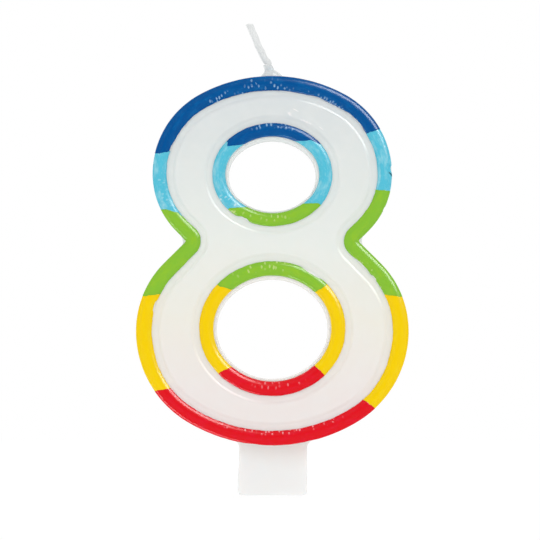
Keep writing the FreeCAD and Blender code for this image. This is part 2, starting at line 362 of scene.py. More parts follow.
class LobedOutline(Outline):
    """The digit's outer edge. Its waist notch is sharp at the rib and round at the wall."""

    def __init__(
        self,
        rib: Sequence[ArcSpan],
        wall: Sequence[ArcSpan],
        walk: float,
        narrowing: Narrowing,
    ) -> None:
        """Keeps both shapes of the outline, which have the same spans.

        Args:
            rib: The arcs at the rib, clockwise.
            wall: The same arcs at the side wall.
            walk: The depth at which distances along the outline are measured.
            narrowing: Where the rib is narrower.
        """
        super().__init__(rib, walk)
        self.wall = Outline(wall, walk)
        self.narrowing = narrowing

    def place(
        self, station: np.ndarray, depth: np.ndarray | float, swell: np.ndarray | float = 0.0
    ) -> tuple[np.ndarray, np.ndarray]:
        """X and Z of points given by station and depth.

        Args:
            station: Distances along the outline.
            depth: Distances into the wax.
            swell: 0 for the rib's shape, 1 for the wall's.

        Returns:
            Arrays of X and of Z.
        """
        index, share = self.spans_at(np.asarray(station, float))
        _, level = self.on_span(index, share, 0.0)
        depth = depth * self.narrowing.at(level)
        sharp_x, sharp_z = self.on_span(index, share, depth)
        round_x, round_z = self.wall.on_span(index, share, depth)
        return sharp_x + (round_x - sharp_x) * swell, sharp_z + (round_z - sharp_z) * swell


@dataclass
class Lobe:
    """One loop's share of the outer edge: a wide cap arc and a tighter side arc."""

    cap_z: float
    cap_radius: float
    side_radius: float
    side_x: float
    side_z: float = field(init=False)

    def __post_init__(self) -> None:
        """Finds the side arc's centre, which makes it run smoothly into the cap."""
        rise = math.sqrt((abs(self.cap_radius) - self.side_radius) ** 2 - self.side_x**2)
        self.side_z = self.cap_z + math.copysign(rise, self.cap_radius)

    @property
    def join(self) -> float:
        """The angle at which the cap runs into the side arc on the right."""
        return math.atan2(self.side_z - self.cap_z, self.side_x)


@dataclass
class DigitShape:
    """The plan of the digit: its outer edge, its two holes and its front levels."""

    upper_cap: float = 27.5
    upper_side: float = 16.4
    upper_side_x: float = 5.3
    upper_shoulder: float = 14.6
    lower_cap: float = 29.7
    lower_side: float = 19.1
    lower_side_x: float = 5.6
    lower_shoulder: float = 17.4
    waist_turn: float = math.radians(45)
    rib_notch: float = 0.35
    wall_notch: float = 1.8
    rim_width: float = 2.94
    upper_hole: tuple[float, float, float, float] = (58.2, 8.38, 6.85, 5.9)
    lower_hole: tuple[float, float, float, float] = (30.25, 10.55, 9.5, 8.65)
    hole_rib_start: float = 0.2
    upper_rib_width: float = 2.36
    lower_rib_width: float = 2.58
    coat_proud: float = 0.15
    notch_eases: tuple[float, float] = (0.1, 1.3)
    rib_height: float = 1.0
    groove_rise: float = 0.5

    def __post_init__(self) -> None:
        """Takes the heights and the depths from the frame."""
        wax_low, wax_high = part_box("wax_body")
        self.top_z = wax_high.z / MM
        self.back_y = wax_high.y / MM
        self.rib_y = wax_low.y / MM
        self.floor_y = self.rib_y + self.rib_height
        self.bottom_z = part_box("rim_coat_red")[0].z / MM + self.coat_proud
        self.upper = Lobe(
            self.top_z - self.upper_cap, self.upper_cap, self.upper_side, self.upper_side_x
        )
        self.lower = Lobe(
            self.bottom_z + self.lower_cap, -self.lower_cap, self.lower_side, self.lower_side_x
        )
        self.rim = LobedOutline(
            self.rim_spans(self.rib_notch),
            self.rim_spans(self.wall_notch),
            self.rim_width / 2,
            Narrowing(),
        )
        middle = self.hole_rib_start + self.upper_rib_width / 2
        self.upper_edge = Outline(self.hole_spans(*self.upper_hole), middle)
        middle = self.hole_rib_start + self.lower_rib_width / 2
        self.lower_edge = Outline(self.hole_spans(*self.lower_hole), middle)

    def rim_spans(self, notch_radius: float) -> list[ArcSpan]:
        """The arcs of the outer edge, clockwise from the top left.

        Args:
            notch_radius: The rounding of the waist notch.

        Returns:
            The arcs. The straight arms at the waist are arcs of a very large radius.
        """
        up, low, turn = self.upper, self.lower, self.waist_turn
        up_x = up.side_x + up.side_radius - self.upper_shoulder
        low_x = low.side_x + low.side_radius - self.lower_shoulder
        across, rise = math.cos(turn), math.sin(turn)
        from_up = self.upper_shoulder + notch_radius + across * up_x - rise * up.side_z
        from_low = self.lower_shoulder + notch_radius + across * low_x + rise * low.side_z
        notch_x = (from_up + from_low) / (2 * across)
        notch_z = (from_low - from_up) / (2 * rise)
        straight = 500.0  # the radius that passes for a straight line
        foot_x, foot_z = notch_x - notch_radius * across, notch_z - notch_radius * rise
        arm_up = math.dist(
            (up_x + self.upper_shoulder * across, up.side_z - self.upper_shoulder * rise),
            (foot_x, notch_z + notch_radius * rise),
        )
        arm_low = math.dist(
            (low_x + self.lower_shoulder * across, low.side_z + self.lower_shoulder * rise),
            (foot_x, foot_z),
        )
        off_up, off_low = self.upper_shoulder - straight, self.lower_shoulder - straight
        right = [
            ArcSpan(up.side_x, up.side_z, up.side_radius, up.join, 0, -1),
            ArcSpan(up_x, up.side_z, self.upper_shoulder, 0, -turn, -1),
            ArcSpan(
                up_x + off_up * across, up.side_z - off_up * rise,
                straight, -turn, -turn - arm_up / straight, -1,
            ),
            ArcSpan(notch_x, notch_z, notch_radius, math.pi - turn, math.pi + turn, 1),
            ArcSpan(
                low_x + off_low * across, low.side_z + off_low * rise,
                straight, turn + arm_low / straight, turn, -1,
            ),
            ArcSpan(low_x, low.side_z, self.lower_shoulder, turn, 0, -1),
            ArcSpan(low.side_x, low.side_z, low.side_radius, 0, low.join, -1),
        ]
        cap = ArcSpan(0, up.cap_z, self.upper_cap, math.pi - up.join, up.join, -1)
        base = ArcSpan(0, low.cap_z, self.lower_cap, low.join, -math.pi - low.join, -1)
        left = [
            ArcSpan(-s.x, s.z, s.radius, math.pi - s.last, math.pi - s.first, s.grow)
            for s in reversed(right)
        ]
        return [cap, *right, base, *left]

    @staticmethod
    def hole_spans(z: float, half_x: float, half_z: float, side: float) -> list[ArcSpan]:
        """The four arcs of a hole's edge, clockwise from its top left.

        Args:
            z: The height of the hole's middle.
            half_x: Half of its width.
            half_z: Half of its height.
            side: The radius of its two side arcs.

        Returns:
            The four arcs.
        """
        reach = half_x - side
        cap = (reach**2 + half_z**2 - side**2) / (2 * (half_z - side))
        drop = cap - half_z
        join = math.atan2(drop, reach)
        return [
            ArcSpan(0, z - drop, cap, math.pi - join, join, 1),
            ArcSpan(reach, z, side, join, -join, 1),
            ArcSpan(0, z + drop, cap, -join, join - math.pi, 1),
            ArcSpan(-reach, z, side, math.pi + join, math.pi - join, 1),
        ]

    def wall_swell(self, y: np.ndarray | float) -> np.ndarray:
        """How much of the wall's round notch the outer edge has at a level."""
        start, end = self.notch_eases
        return smoothstep(self.floor_y + start, self.floor_y + end, y)


class RibProfile:
    """The cross-section of a rib of wax, walked from its outer foot to its inner foot."""

    FULLNESS = 2.15
    CREST_STEPS = 400
    WALL_STEPS = 40
    WALL_END = 0.01

    def __init__(
        self, start: float, width: float, floor_y: float, height: float, wall: float
    ) -> None:
        """Traces the section.

        Args:
            start: The depth of the rib's outer foot.
            width: The rib's width.
            floor_y: The level of the rib's feet.
            height: How far it rises.
            wall: The length of plain side wall that comes before the outer foot.
        """
        turn = np.linspace(0, math.pi, self.CREST_STEPS)
        lift = np.sin(turn) ** (2 / self.FULLNESS)
        across = np.sign(np.cos(turn)) * np.abs(np.cos(turn)) ** (2 / self.FULLNESS)
        depth = start + width / 2 * (1 - across)
        y = floor_y - height * lift
        if wall > 0:
            side = np.linspace(floor_y + wall, floor_y + self.WALL_END, self.WALL_STEPS)
            depth = np.concatenate([np.full(self.WALL_STEPS, start), depth])
            y = np.concatenate([side, y])
        step_d, step_y = np.gradient(depth), np.gradient(y)
        size = np.hypot(step_d, step_y)
        self.depths, self.levels = depth, y
        self.out_d, self.out_y = step_y / size, -step_d / size
        gone = np.hypot(np.diff(depth), np.diff(y))
        self.walked = np.concatenate([[0], np.cumsum(gone)])
        self.length = float(self.walked[-1])
        self.wall = wall

    def at(self, walked: np.ndarray) -> tuple[np.ndarray, ...]:
        """Depth, level and outward direction at distances along the section."""
        table = (self.depths, self.levels, self.out_d, self.out_y)
        return tuple(np.interp(walked, self.walked, column) for column in table)


# ---- shaders ------------------------------------------------------------------


class Value:
    """A number in a shader, on which sums can be written as Python expressions."""

    def __init__(self, nodes: NodeBuilder, socket: NodeSocket) -> None:
        """Wraps an output socket of the tree that nodes builds."""
        self.nodes = nodes
        self.socket = socket

    def __add__(self, other: object) -> Value:
        """self + other."""
        return self.nodes.calculate("ADD", self, other)

    __radd__ = __add__

    def __sub__(self, other: object) -> Value:
        """self - other."""
        return self.nodes.calculate("SUBTRACT", self, other)

    def __rsub__(self, other: object) -> Value:
        """other - self."""
        return self.nodes.calculate("SUBTRACT", other, self)

    def __mul__(self, other: object) -> Value:
        """self * other."""
        return self.nodes.calculate("MULTIPLY", self, other)

    __rmul__ = __mul__

    def __rtruediv__(self, other: object) -> Value:
        """other / self."""
        return self.nodes.calculate("DIVIDE", other, self)

    def clamped(self) -> Value:
        """The value, held between 0 and 1."""
        below_one = self.nodes.calculate("MINIMUM", self, 1.0)
        return self.nodes.calculate("MAXIMUM", below_one, 0.0)

    def between(self, low: float, high: float) -> Value:
        """Rises smoothly from 0 where the value is low to 1 where it is high.

        Args:
            low: Where the rise starts.
            high: Where it ends.

        Returns:
            The new value.
        """
        settings = {"interpolation_type": "SMOOTHSTEP"}
        sockets = {"Value": self, "From Min": low, "From Max": high}
        made = self.nodes.add("ShaderNodeMapRange", settings, sockets)
        return Value(self.nodes, made.outputs["Result"])


class NodeBuilder:
    """Adds nodes to one tree, of a material, of the world or of Geometry Nodes."""

    def __init__(self, tree: NodeTree) -> None:
        """Works on an emptied node tree."""
        self.tree = tree
        tree.nodes.clear()

    def add(
        self, kind: str, settings: dict | None = None, sockets: dict | None = None
    ) -> Node:
        """Adds a node.

        Args:
            kind: The node's type, such as ShaderNodeTexNoise.
            settings: Its settings, which are set first. A list is a ramp's stops.
            sockets: Values or links of its inputs, by name or number.

        Returns:
            The node.
        """
        node = self.tree.nodes.new(kind)
        for key, value in (settings or {}).items():
            if key == "stops":
                self._ramp(node, value)
            else:
                setattr(node, key, value)
        for key, value in (sockets or {}).items():
            self.feed(node.inputs[key], value)
        return node

    def feed(self, socket: NodeSocket, value: object) -> None:
        """Links an input, or sets it.

        Args:
            socket: The input.
            value: What it takes: a value, a socket or a node is linked, others are set.
        """
        if isinstance(value, Value):
            self.tree.links.new(value.socket, socket)
        elif isinstance(value, NodeSocket):
            self.tree.links.new(value, socket)
        elif isinstance(value, Node):
            self.tree.links.new(value.outputs[0], socket)
        else:
            socket.default_value = value

    @staticmethod
    def _ramp(node: Node, stops: Sequence[tuple[float, tuple]]) -> None:
        """Gives a colour ramp its stops.

        Args:
            node: The colour ramp.
            stops: The place and the colour of each stop.
        """
        band = node.color_ramp.elements
        while len(band) < len(stops):
            band.new(0.5)
        for element, (place, colour) in zip(band, stops):
            element.position = place
            element.color = colour

    def value(self, socket: NodeSocket) -> Value:
        """Wraps an output so that sums can be written on it."""
        return Value(self, socket)

    def calculate(self, operation: str, left: object, right: object = 0.0) -> Value:
        """A Math node's answer."""
        node = self.add("ShaderNodeMath", {"operation": operation}, {0: left, 1: right})
        return self.value(node.outputs[0])

    def vector(self, operation: str, left: object, right: object) -> NodeSocket:
        """A Vector Math node's answer.

        Args:
            operation: The node's operation.
            left: A vector or a link.
            right: A vector or a link. For SCALE it is a number.

        Returns:
            The resulting vector.
        """
        key = "Scale" if operation == "SCALE" else 1
        settings = {"operation": operation}
        node = self.add("ShaderNodeVectorMath", settings, {0: left, key: right})
        return node.outputs["Vector"]

    def millimetres(self) -> NodeSocket:
        """Object coordinates in millimetres."""
        where = self.add("ShaderNodeTexCoord").outputs["Object"]
        return self.vector("SCALE", where, 1 / MM)

    def drawn_out(
        self, vector: object, scale: tuple, turn: tuple = (0.0, 0.0, 0.0)
    ) -> NodeSocket:
        """A vector turned and scaled, which stretches the pattern that is read there."""
        lay = {"Vector": vector, "Rotation": turn, "Scale": scale}
        return self.add("ShaderNodeMapping", None, lay).outputs["Vector"]

    def bump(self, strength: float, depth_mm: float, height: Value) -> Node:
        """A Bump node over a height, for a Normal input."""
        sockets = {"Strength": strength, "Distance": depth_mm * MM, "Height": height}
        return self.add("ShaderNodeBump", None, sockets)

    def noise(self, vector: object, scale: float, detail: float = 3.0, seed: float = 0) -> Value:
        """A noise texture's height, 0 to 1.

        Args:
            vector: Where it is read.
            scale: How many waves it has in one unit.
            detail: How many finer octaves it has.
            seed: Picks another noise of the same kind.

        Returns:
            The height.
        """
        sockets = {"Vector": vector, "W": seed, "Scale": scale, "Detail": detail}
        made = self.add("ShaderNodeTexNoise", {"noise_dimensions": "4D"}, sockets)
        return self.value(made.outputs[0])

    def mix(self, share: object, low: object, high: object) -> NodeSocket:
        """Mixes two colours.

        Args:
            share: 0 for low, 1 for high.
            low: A colour or a link.
            high: A colour or a link.

        Returns:
            The mixed colour.
        """
        node = self.add("ShaderNodeMix", {"data_type": "RGBA"}, {"Factor": share})
        colours = [s for s in node.inputs if s.type == "RGBA"]
        self.feed(colours[0], low)
        self.feed(colours[1], high)
        return next(s for s in node.outputs if s.type == "RGBA")

    def attribute(self, name: str) -> Value:
        """A number stored on the piece's points."""
        node = self.add("ShaderNodeAttribute", {"attribute_name": name})
        return self.value(node.outputs["Fac"])


def new_material(name: str) -> tuple[Material, NodeBuilder]:
    """Makes a material.

    Args:
        name: Its name.

    Returns:
        The material, with no nodes yet, and the builder of its nodes.
    """
    material = bpy.data.materials.new(name)
    material.use_nodes = True
    return material, NodeBuilder(material.node_tree)


def close_material(nodes: NodeBuilder, sockets: dict) -> None:
    """Adds the Principled shader and the output.

    Args:
        nodes: The material's builder.
        sockets: Values and links of the Principled shader's inputs.
    """
    surface = nodes.add("ShaderNodeBsdfPrincipled", None, sockets)
    nodes.add("ShaderNodeOutputMaterial", None, {"Surface": surface})


@dataclass(frozen=True)
class WaxFinish:
    """White candle wax: smooth, a little see-through, cooler in tone at the top and warmer and rosier
    lower down. Its stem is given a brighter colour than the digit: painted light that offsets the
    shade the stem sits in under the digit.

    Each stroke is a scuff on the face, a slight bump with a painted highlight: near-white colour
    standing in for the glint of light off it. Each gives its X, its Z, its angle in degrees, and half
    of its length and of its width.
    """

    slot: str = "wax"
    cool: tuple = srgb(227, 232, 233)
    pale: tuple = srgb(241, 245, 239)
    warm: tuple = srgb(246, 243, 233)
    rosy: tuple = srgb(246, 238, 235)
    # Painted light: the stem's colour is brighter than the digit's wax, to offset the shade the stem
    # sits in under the digit.
    stem: tuple = srgb(249, 249, 246)
    roughness: float = 0.22
    scatter_mm: float = 1.1
    drift_mm: float = 9.0
    face_y: float = -4.2
    scuff_depth: float = 3.0
    scuff_raggedness: float = 0.9
    strokes: tuple[tuple[float, float, float, float, float], ...] = (
        (3.1, 69.25, -40.0, 1.0, 0.45),
        (6.1, 67.8, -23.0, 2.0, 0.3),
        (4.3, 69.9, -28.0, 1.2, 0.16),
        (8.9, 66.6, -38.0, 1.1, 0.16),
        (19.1, 40.2, -50.0, 0.8, 0.2),
    )

    def scuffs_and_highlights(self, nodes: NodeBuilder, where: NodeSocket) -> Value:
        """Short strokes on the face, each a slight bump and a painted highlight: the glint of light
        off a dent, painted as near-white colour.

        Args:
            nodes: The material's builder.
            where: The place on the wax, in millimetres.

        Returns:
            How strong each scuff and its painted highlight are, 0 to 1.
        """
        ragged = nodes.noise(where, 3.0, 3.0, seed=23.0) * self.scuff_raggedness
        total = 0.0
        for x, z, angle, length, width in self.strokes:
            lay = {
                "Vector": where,
                "Location": (x, self.face_y, z),
                "Rotation": (0, -math.radians(angle), 0),
                "Scale": (length, self.scuff_depth, width),
            }
            laid = nodes.add("ShaderNodeMapping", {"vector_type": "TEXTURE"}, lay)
            reach = nodes.add(
                "ShaderNodeVectorMath", {"operation": "LENGTH"}, {0: laid.outputs["Vector"]}
            )
            away = nodes.value(reach.outputs["Value"]) + ragged
            total = (1.0 - away.between(0.55, 1.25)) + total
        return total.clamped()

    def material(self, shape: DigitShape) -> Material:
        """Builds the wax.

        Args:
            shape: The digit, whose height sets where each tint lies.

        Returns:
            The material.
        """
        material, nodes = new_material("candle_wax")
        where = nodes.millimetres()
        parts = nodes.add("ShaderNodeSeparateXYZ", None, {"Vector": where})
        drift = (nodes.noise(where, 0.09, 2.0) - 0.5) * self.drift_mm
        height = (nodes.value(parts.outputs["Z"]) + drift) * (1 / shape.top_z)
        # The lowest stops give the stem its brighter colour, painted light that offsets the shade
        # under the digit; higher up the wax runs from rosy and warm to pale and cool.
        stops = [
            (0.0, self.stem),
            (0.08, self.stem),
            (0.14, self.rosy),
            (0.24, self.rosy),
            (0.42, self.warm),
            (0.60, self.pale),
            (0.95, self.cool),
        ]
        tint = nodes.add("ShaderNodeValToRGB", {"stops": stops}, {"Fac": height})
        cloud = nodes.noise(where, 0.35, 4.0, seed=3.0).between(0.35, 0.7)
        clouded = nodes.mix(cloud * 0.15, tint.outputs["Color"], srgb(248, 248, 245))
        scuff_highlight = self.scuffs_and_highlights(nodes, where)
        # Painted highlight: the scuffs are mixed almost to pure white, standing in for the glint of
        # light off them.
        colour = nodes.mix(scuff_highlight * 0.9, clouded, srgb(255, 255, 255))
        skin = nodes.noise(where, 2.2, 4.0, seed=7.0)
        grain = nodes.noise(where, 9.0, 2.0, seed=11.0)
        uneven = skin * 0.7 + grain * 0.3 + scuff_highlight * 1.5
        close_material(
            nodes,
            {
                "Base Color": colour,
                "Roughness": self.roughness - 0.06 + nodes.noise(where, 1.1, 3.0) * 0.12,
                "IOR": 1.44,
                "Specular IOR Level": 0.36,
                "Subsurface Weight": 0.5,
                "Subsurface Radius": (1.0, 0.9, 0.85),
                "Subsurface Scale": self.scatter_mm * MM,
                "Normal": nodes.bump(0.35, 0.05, uneven),
            },
        )
        return material


@dataclass(frozen=True)
class LacquerFinish:
    """Dyed wax lacquer: glossy, uneven where the brush left more or less of it.

    Body is its usual colour, thin where the brush drew it out. Its edges are painted darker, painted
    shade for the steep flanks, and short dashes are painted light, painted highlights for glints off
    its ripples.
    """

    name: str
    body: tuple
    edge_shade_colour: tuple
    thin: tuple
    glint_colour: tuple
    seed: int
    patchy: float = 0.5
    flecked: float = 0.3
    gloss: float = 0.16

    @property
    def slot(self) -> str:
        """The record's material slot of this colour."""
        return "lacquer_" + self.name

    def glint_dashes(self, nodes: NodeBuilder, run: NodeSocket) -> Value:
        """Small light dashes, painted highlights that stand in for glints of light off the rib's
        ripples. They also feed the bump.

        Args:
            nodes: The material's builder.
            run: Distances along the rib and across it.

        Returns:
            The marks, 0 to 1.
        """
        laid = nodes.drawn_out(run, (1.55, 0.85, 1.0))
        wobble = nodes.noise(run, 2.6, 2.0, seed=self.seed + 3.0) * 0.5
        cells = nodes.add(
            "ShaderNodeTexVoronoi", {"voronoi_dimensions": "2D"}, {"Vector": laid, "Scale": 1.0}
        )
        near = nodes.value(cells.outputs["Distance"]) + wobble
        lot = nodes.add("ShaderNodeSeparateColor", None, {0: cells.outputs["Color"]})
        kept = nodes.value(lot.outputs[0]).between(0.25, 0.7)
        return (1.0 - near.between(0.42, 0.56)) * kept * nodes.attribute("ticks")

    def material(self) -> Material:
        """Builds the lacquer: darker at its edges as painted shade, thinner in patches, and lighter in
        short dashes as painted highlights.

        Returns:
            The material.
        """
        material, nodes = new_material(self.slot)
        where = nodes.millimetres()
        run = nodes.add("ShaderNodeAttribute", {"attribute_name": "run"}).outputs["Vector"]
        drawn = nodes.drawn_out(run, (0.55, 1.3, 1.0))
        patches = nodes.noise(drawn, 0.8, 3.0, seed=self.seed).between(0.45, 0.75)
        flecks = nodes.noise(drawn, 3.2, 2.0, seed=self.seed + 0.5).between(0.52, 0.72)
        share = patches * self.patchy + flecks * self.flecked
        brushed = nodes.mix(share.clamped(), self.body, self.thin)
        # Painted shade: near the band's edges the colour darkens, standing in for the shade on its
        # steep flanks.
        edge_shade = (nodes.attribute("edge") * 0.5).clamped()
        glint_dash = self.glint_dashes(nodes, run)
        # Painted highlight: in the dashes the colour lightens, standing in for glints of light.
        colour = nodes.mix(glint_dash * 0.85, nodes.mix(edge_shade, brushed, self.edge_shade_colour), self.glint_colour)
        skin = nodes.noise(where, 1.8, 3.0, seed=self.seed + 5.0)
        grain = nodes.noise(where, 8.0, 2.0, seed=self.seed + 9.0)
        uneven = skin * 0.7 + grain * 0.3 + glint_dash * 0.4
        roughness = self.gloss + nodes.noise(where, 1.3, 3.0, seed=self.seed + 2.0) * 0.1
        close_material(
            nodes,
            {
                "Base Color": colour,
                "Roughness": roughness,
                "IOR": 1.46,
                "Specular IOR Level": 0.22,
                "Subsurface Weight": 0.08,
                "Subsurface Radius": (1.0, 1.0, 1.0),
                "Subsurface Scale": 0.25 * MM,
                "Coat Weight": 0.15,
                "Coat Roughness": 0.2,
                "Normal": nodes.bump(0.5, 0.08, uneven),
            },
        )
        return material


class Dye(Enum):
    """The five lacquer colours."""

    # Each dye gives its body colour, a darker colour painted near the edges as shade, a thinner
    # colour, and a light colour painted in dashes as highlights.
    NAVY = LacquerFinish(
        "navy", srgb(0, 86, 156), srgb(0, 46, 112), srgb(14, 112, 180), srgb(150, 190, 224), 1
    )
    SKY = LacquerFinish(
        "sky", srgb(90, 200, 225), srgb(60, 164, 196), srgb(168, 226, 238), srgb(214, 240, 246), 2, 0.7
    )
    GREEN = LacquerFinish(
        "green", srgb(141, 200, 58), srgb(88, 156, 36), srgb(160, 206, 48), srgb(214, 232, 150), 3
    )
    YELLOW = LacquerFinish(
        "yellow", srgb(255, 214, 0), srgb(242, 190, 0), srgb(255, 222, 20), srgb(255, 240, 150), 4
    )
    RED = LacquerFinish(
        "red", srgb(234, 20, 32), srgb(182, 0, 28), srgb(240, 26, 60), srgb(250, 170, 176), 5
    )


@dataclass(frozen=True)
class CottonFinish:
    """White cotton wick soaked in wax, with the thread just showing through."""

    slot: str = "wick_cotton"
    thread: tuple = srgb(243, 245, 244)
    shade: tuple = srgb(234, 236, 235)
    lean: float = 24.0

    def material(self) -> Material:
        """Builds the waxed cotton.

        Returns:
            The material.
        """
        material, nodes = new_material("waxed_cotton")
        where = nodes.millimetres()
        thread = nodes.drawn_out(where, (2.0, 2.0, 0.3), (0, math.radians(self.lean), 0))
        fibres = nodes.noise(thread, 1.0, 3.0).between(0.4, 0.65)
        lumps = nodes.noise(where, 1.4, 3.0, seed=4.0)
        close_material(
            nodes,
            {
                "Base Color": nodes.mix(fibres * 0.6, self.shade, self.thread),
                "Roughness": 0.6 + lumps * 0.16,
                "Specular IOR Level": 0.06,
                "IOR": 1.44,
                "Normal": nodes.bump(0.08, 0.06, fibres * 0.5 + lumps * 0.5),
            },
        )
        return material


# ---- geometry nodes -----------------------------------------------------------


class ShapeTree(NodeBuilder):
    """A Geometry Nodes tree with named inputs that works on the piece it is given."""

    KINDS = {float: "NodeSocketFloat", int: "NodeSocketInt", Material: "NodeSocketMaterial"}

    def __init__(self, name: str, inputs: dict[str, type]) -> None:
        """Makes the tree.

        Args:
            name: The tree's name.
            inputs: The type of each named input, after the geometry itself.
        """
        super().__init__(bpy.data.node_groups.new(name, "GeometryNodeTree"))
        face = self.tree.interface
        face.new_socket("Geometry", in_out="INPUT", socket_type="NodeSocketGeometry")
        for label, kind in inputs.items():
            face.new_socket(label, in_out="INPUT", socket_type=self.KINDS[kind])
        face.new_socket("Geometry", in_out="OUTPUT", socket_type="NodeSocketGeometry")
        self.given = self.add("NodeGroupInput").outputs

    def number(self, label: str) -> Value:
        """One of the tree's number inputs."""
        return self.value(self.given[label])

    def close(self, shape: object) -> None:
        """Ends the tree: smooth shading, real geometry and the material.

        Args:
            shape: What the tree made.
        """
        smooth = self.add("GeometryNodeSetShadeSmooth", None, {"Geometry": shape})
        real = self.add("GeometryNodeRealizeInstances", None, {"Geometry": smooth})
        sockets = {"Geometry": real, "Material": self.given["Material"]}
        dressed = self.add("GeometryNodeSetMaterial", None, sockets)
        self.add("NodeGroupOutput", None, {"Geometry": dressed})

    def position(self) -> NodeSocket:
        """Where each point is."""
        return self.add("GeometryNodeInputPosition").outputs[0]

    def raised(self, shape: object, rise: Value) -> Node:
        """Moves each point of a shape along its normal.

        Args:
            shape: The shape.
            rise: How far each point moves, in metres.

        Returns:
            The node that moves them.
        """
        normal = self.add("GeometryNodeInputNormal").outputs[0]
        sockets = {"Geometry": shape, "Offset": self.vector("SCALE", normal, rise)}
        return self.add("GeometryNodeSetPosition", None, sockets)

    def run_on(self, host: Object, values: dict[str, object]) -> Object:
        """Runs the tree on an object and gives the plain mesh that comes out.

        Args:
            host: The object that the tree works on.
            values: A value for each named input.

        Returns:
            A plain mesh object with the host's name.
        """
        modifier = host.modifiers.new(self.tree.name, "NODES")
        modifier.node_group = self.tree
        for item in self.tree.interface.items_tree:
            if item.in_out == "INPUT" and item.name in values:
                modifier[item.identifier] = values[item.name]
        return applied(host)


class ReliefTree(ShapeTree):
    """Raises the soft ripples of a hand-laid coat out of its smooth surface.

    They are held back where the piece's own attribute relief is low.
    """

    def __init__(self) -> None:
        """Builds the tree."""
        kinds = {"Ripple Height": float, "Ripple Length": float}
        super().__init__("lacquer_relief", {**kinds, "Seed": float, "Material": Material})
        per_metre = 1.0 / (self.number("Ripple Length") * MM)
        waves = self.vector("SCALE", self.position(), per_metre)
        ripple = self.noise(waves, 1.0, 2.0, seed=self.number("Seed")) - 0.5
        settings = {"data_type": "FLOAT"}
        stored = self.add("GeometryNodeInputNamedAttribute", settings, {"Name": "relief"})
        held = self.value(stored.outputs["Attribute"])
        rise = ripple * 2.0 * self.number("Ripple Height") * held * MM
        self.close(self.raised(self.given["Geometry"], rise))


class CordTree(ShapeTree):
    """Sweeps a ply-twisted section along a curve, for the wick."""

    LUMPS_PER_MM = 1.1

    def __init__(self) -> None:
        """Builds the tree."""
        kinds = {"Radius": float, "Plies": float, "Turns": float, "Groove": float}
        more = {"Lump Height": float, "Seed": float, "Steps": int, "Sides": int}
        super().__init__("twisted_cord", {**kinds, **more, "Material": Material})
        sockets = {"Curve": self.given["Geometry"], "Count": self.given["Steps"]}
        path = self.add("GeometryNodeResampleCurve", None, sockets)
        along = self.value(self.add("GeometryNodeSplineParameter").outputs["Factor"])
        tilt = along * self.number("Turns") * math.tau
        turned = self.add("GeometryNodeSetCurveTilt", None, {"Curve": path, "Tilt": tilt})
        sockets = {"Curve": turned, "Profile Curve": self.section(), "Fill Caps": True}
        swept = self.add("GeometryNodeCurveToMesh", None, sockets)
        waves = self.vector("SCALE", self.position(), self.LUMPS_PER_MM / MM)
        wax = self.noise(waves, 1.0, 2.0, self.number("Seed"))
        rise = (wax - 0.5) * self.number("Lump Height") * (2 * MM)
        self.close(self.raised(swept, rise))

    def section(self) -> NodeSocket:
        """The cord's section: a circle with a shallow valley between each two plies.

        Returns:
            The section's curve.
        """
        sockets = {"Resolution": self.given["Sides"], "Radius": 1.0}
        circle = self.add("GeometryNodeCurvePrimitiveCircle", {"mode": "RADIUS"}, sockets)
        where = self.position()
        parts = self.add("ShaderNodeSeparateXYZ", None, {0: where}).outputs
        angle = self.calculate("ARCTAN2", parts[1], parts[0])
        wave = self.calculate("COSINE", angle * self.number("Plies") * 0.5)
        valley = 1.0 - self.calculate("ABSOLUTE", wave)
        size = (1.0 - self.number("Groove") * valley) * self.number("Radius") * MM
        sockets = {"Geometry": circle, "Position": self.vector("SCALE", where, size)}
        return self.add("GeometryNodeSetPosition", None, sockets).outputs[0]


# ---- the wax digit ------------------------------------------------------------


@dataclass(frozen=True)
class Dent:
    """A small dent or swelling in the white face, stretched along one direction."""

    x: float
    z: float
    angle: float
    length: float
    width: float
    rise: float

    def lift(self, x: np.ndarray, z: np.ndarray) -> np.ndarray:
        """How far the face rises because of it.

        Args:
            x: Places across.
            z: Places up.

        Returns:
            The rise at each place.
        """
        turn = math.radians(self.angle)
        along = (x - self.x) * math.cos(turn) + (z - self.z) * math.sin(turn)
        across = (z - self.z) * math.cos(turn) - (x - self.x) * math.sin(turn)
        return self.rise * np.exp(-((along / self.length) ** 2) - (across / self.width) ** 2)


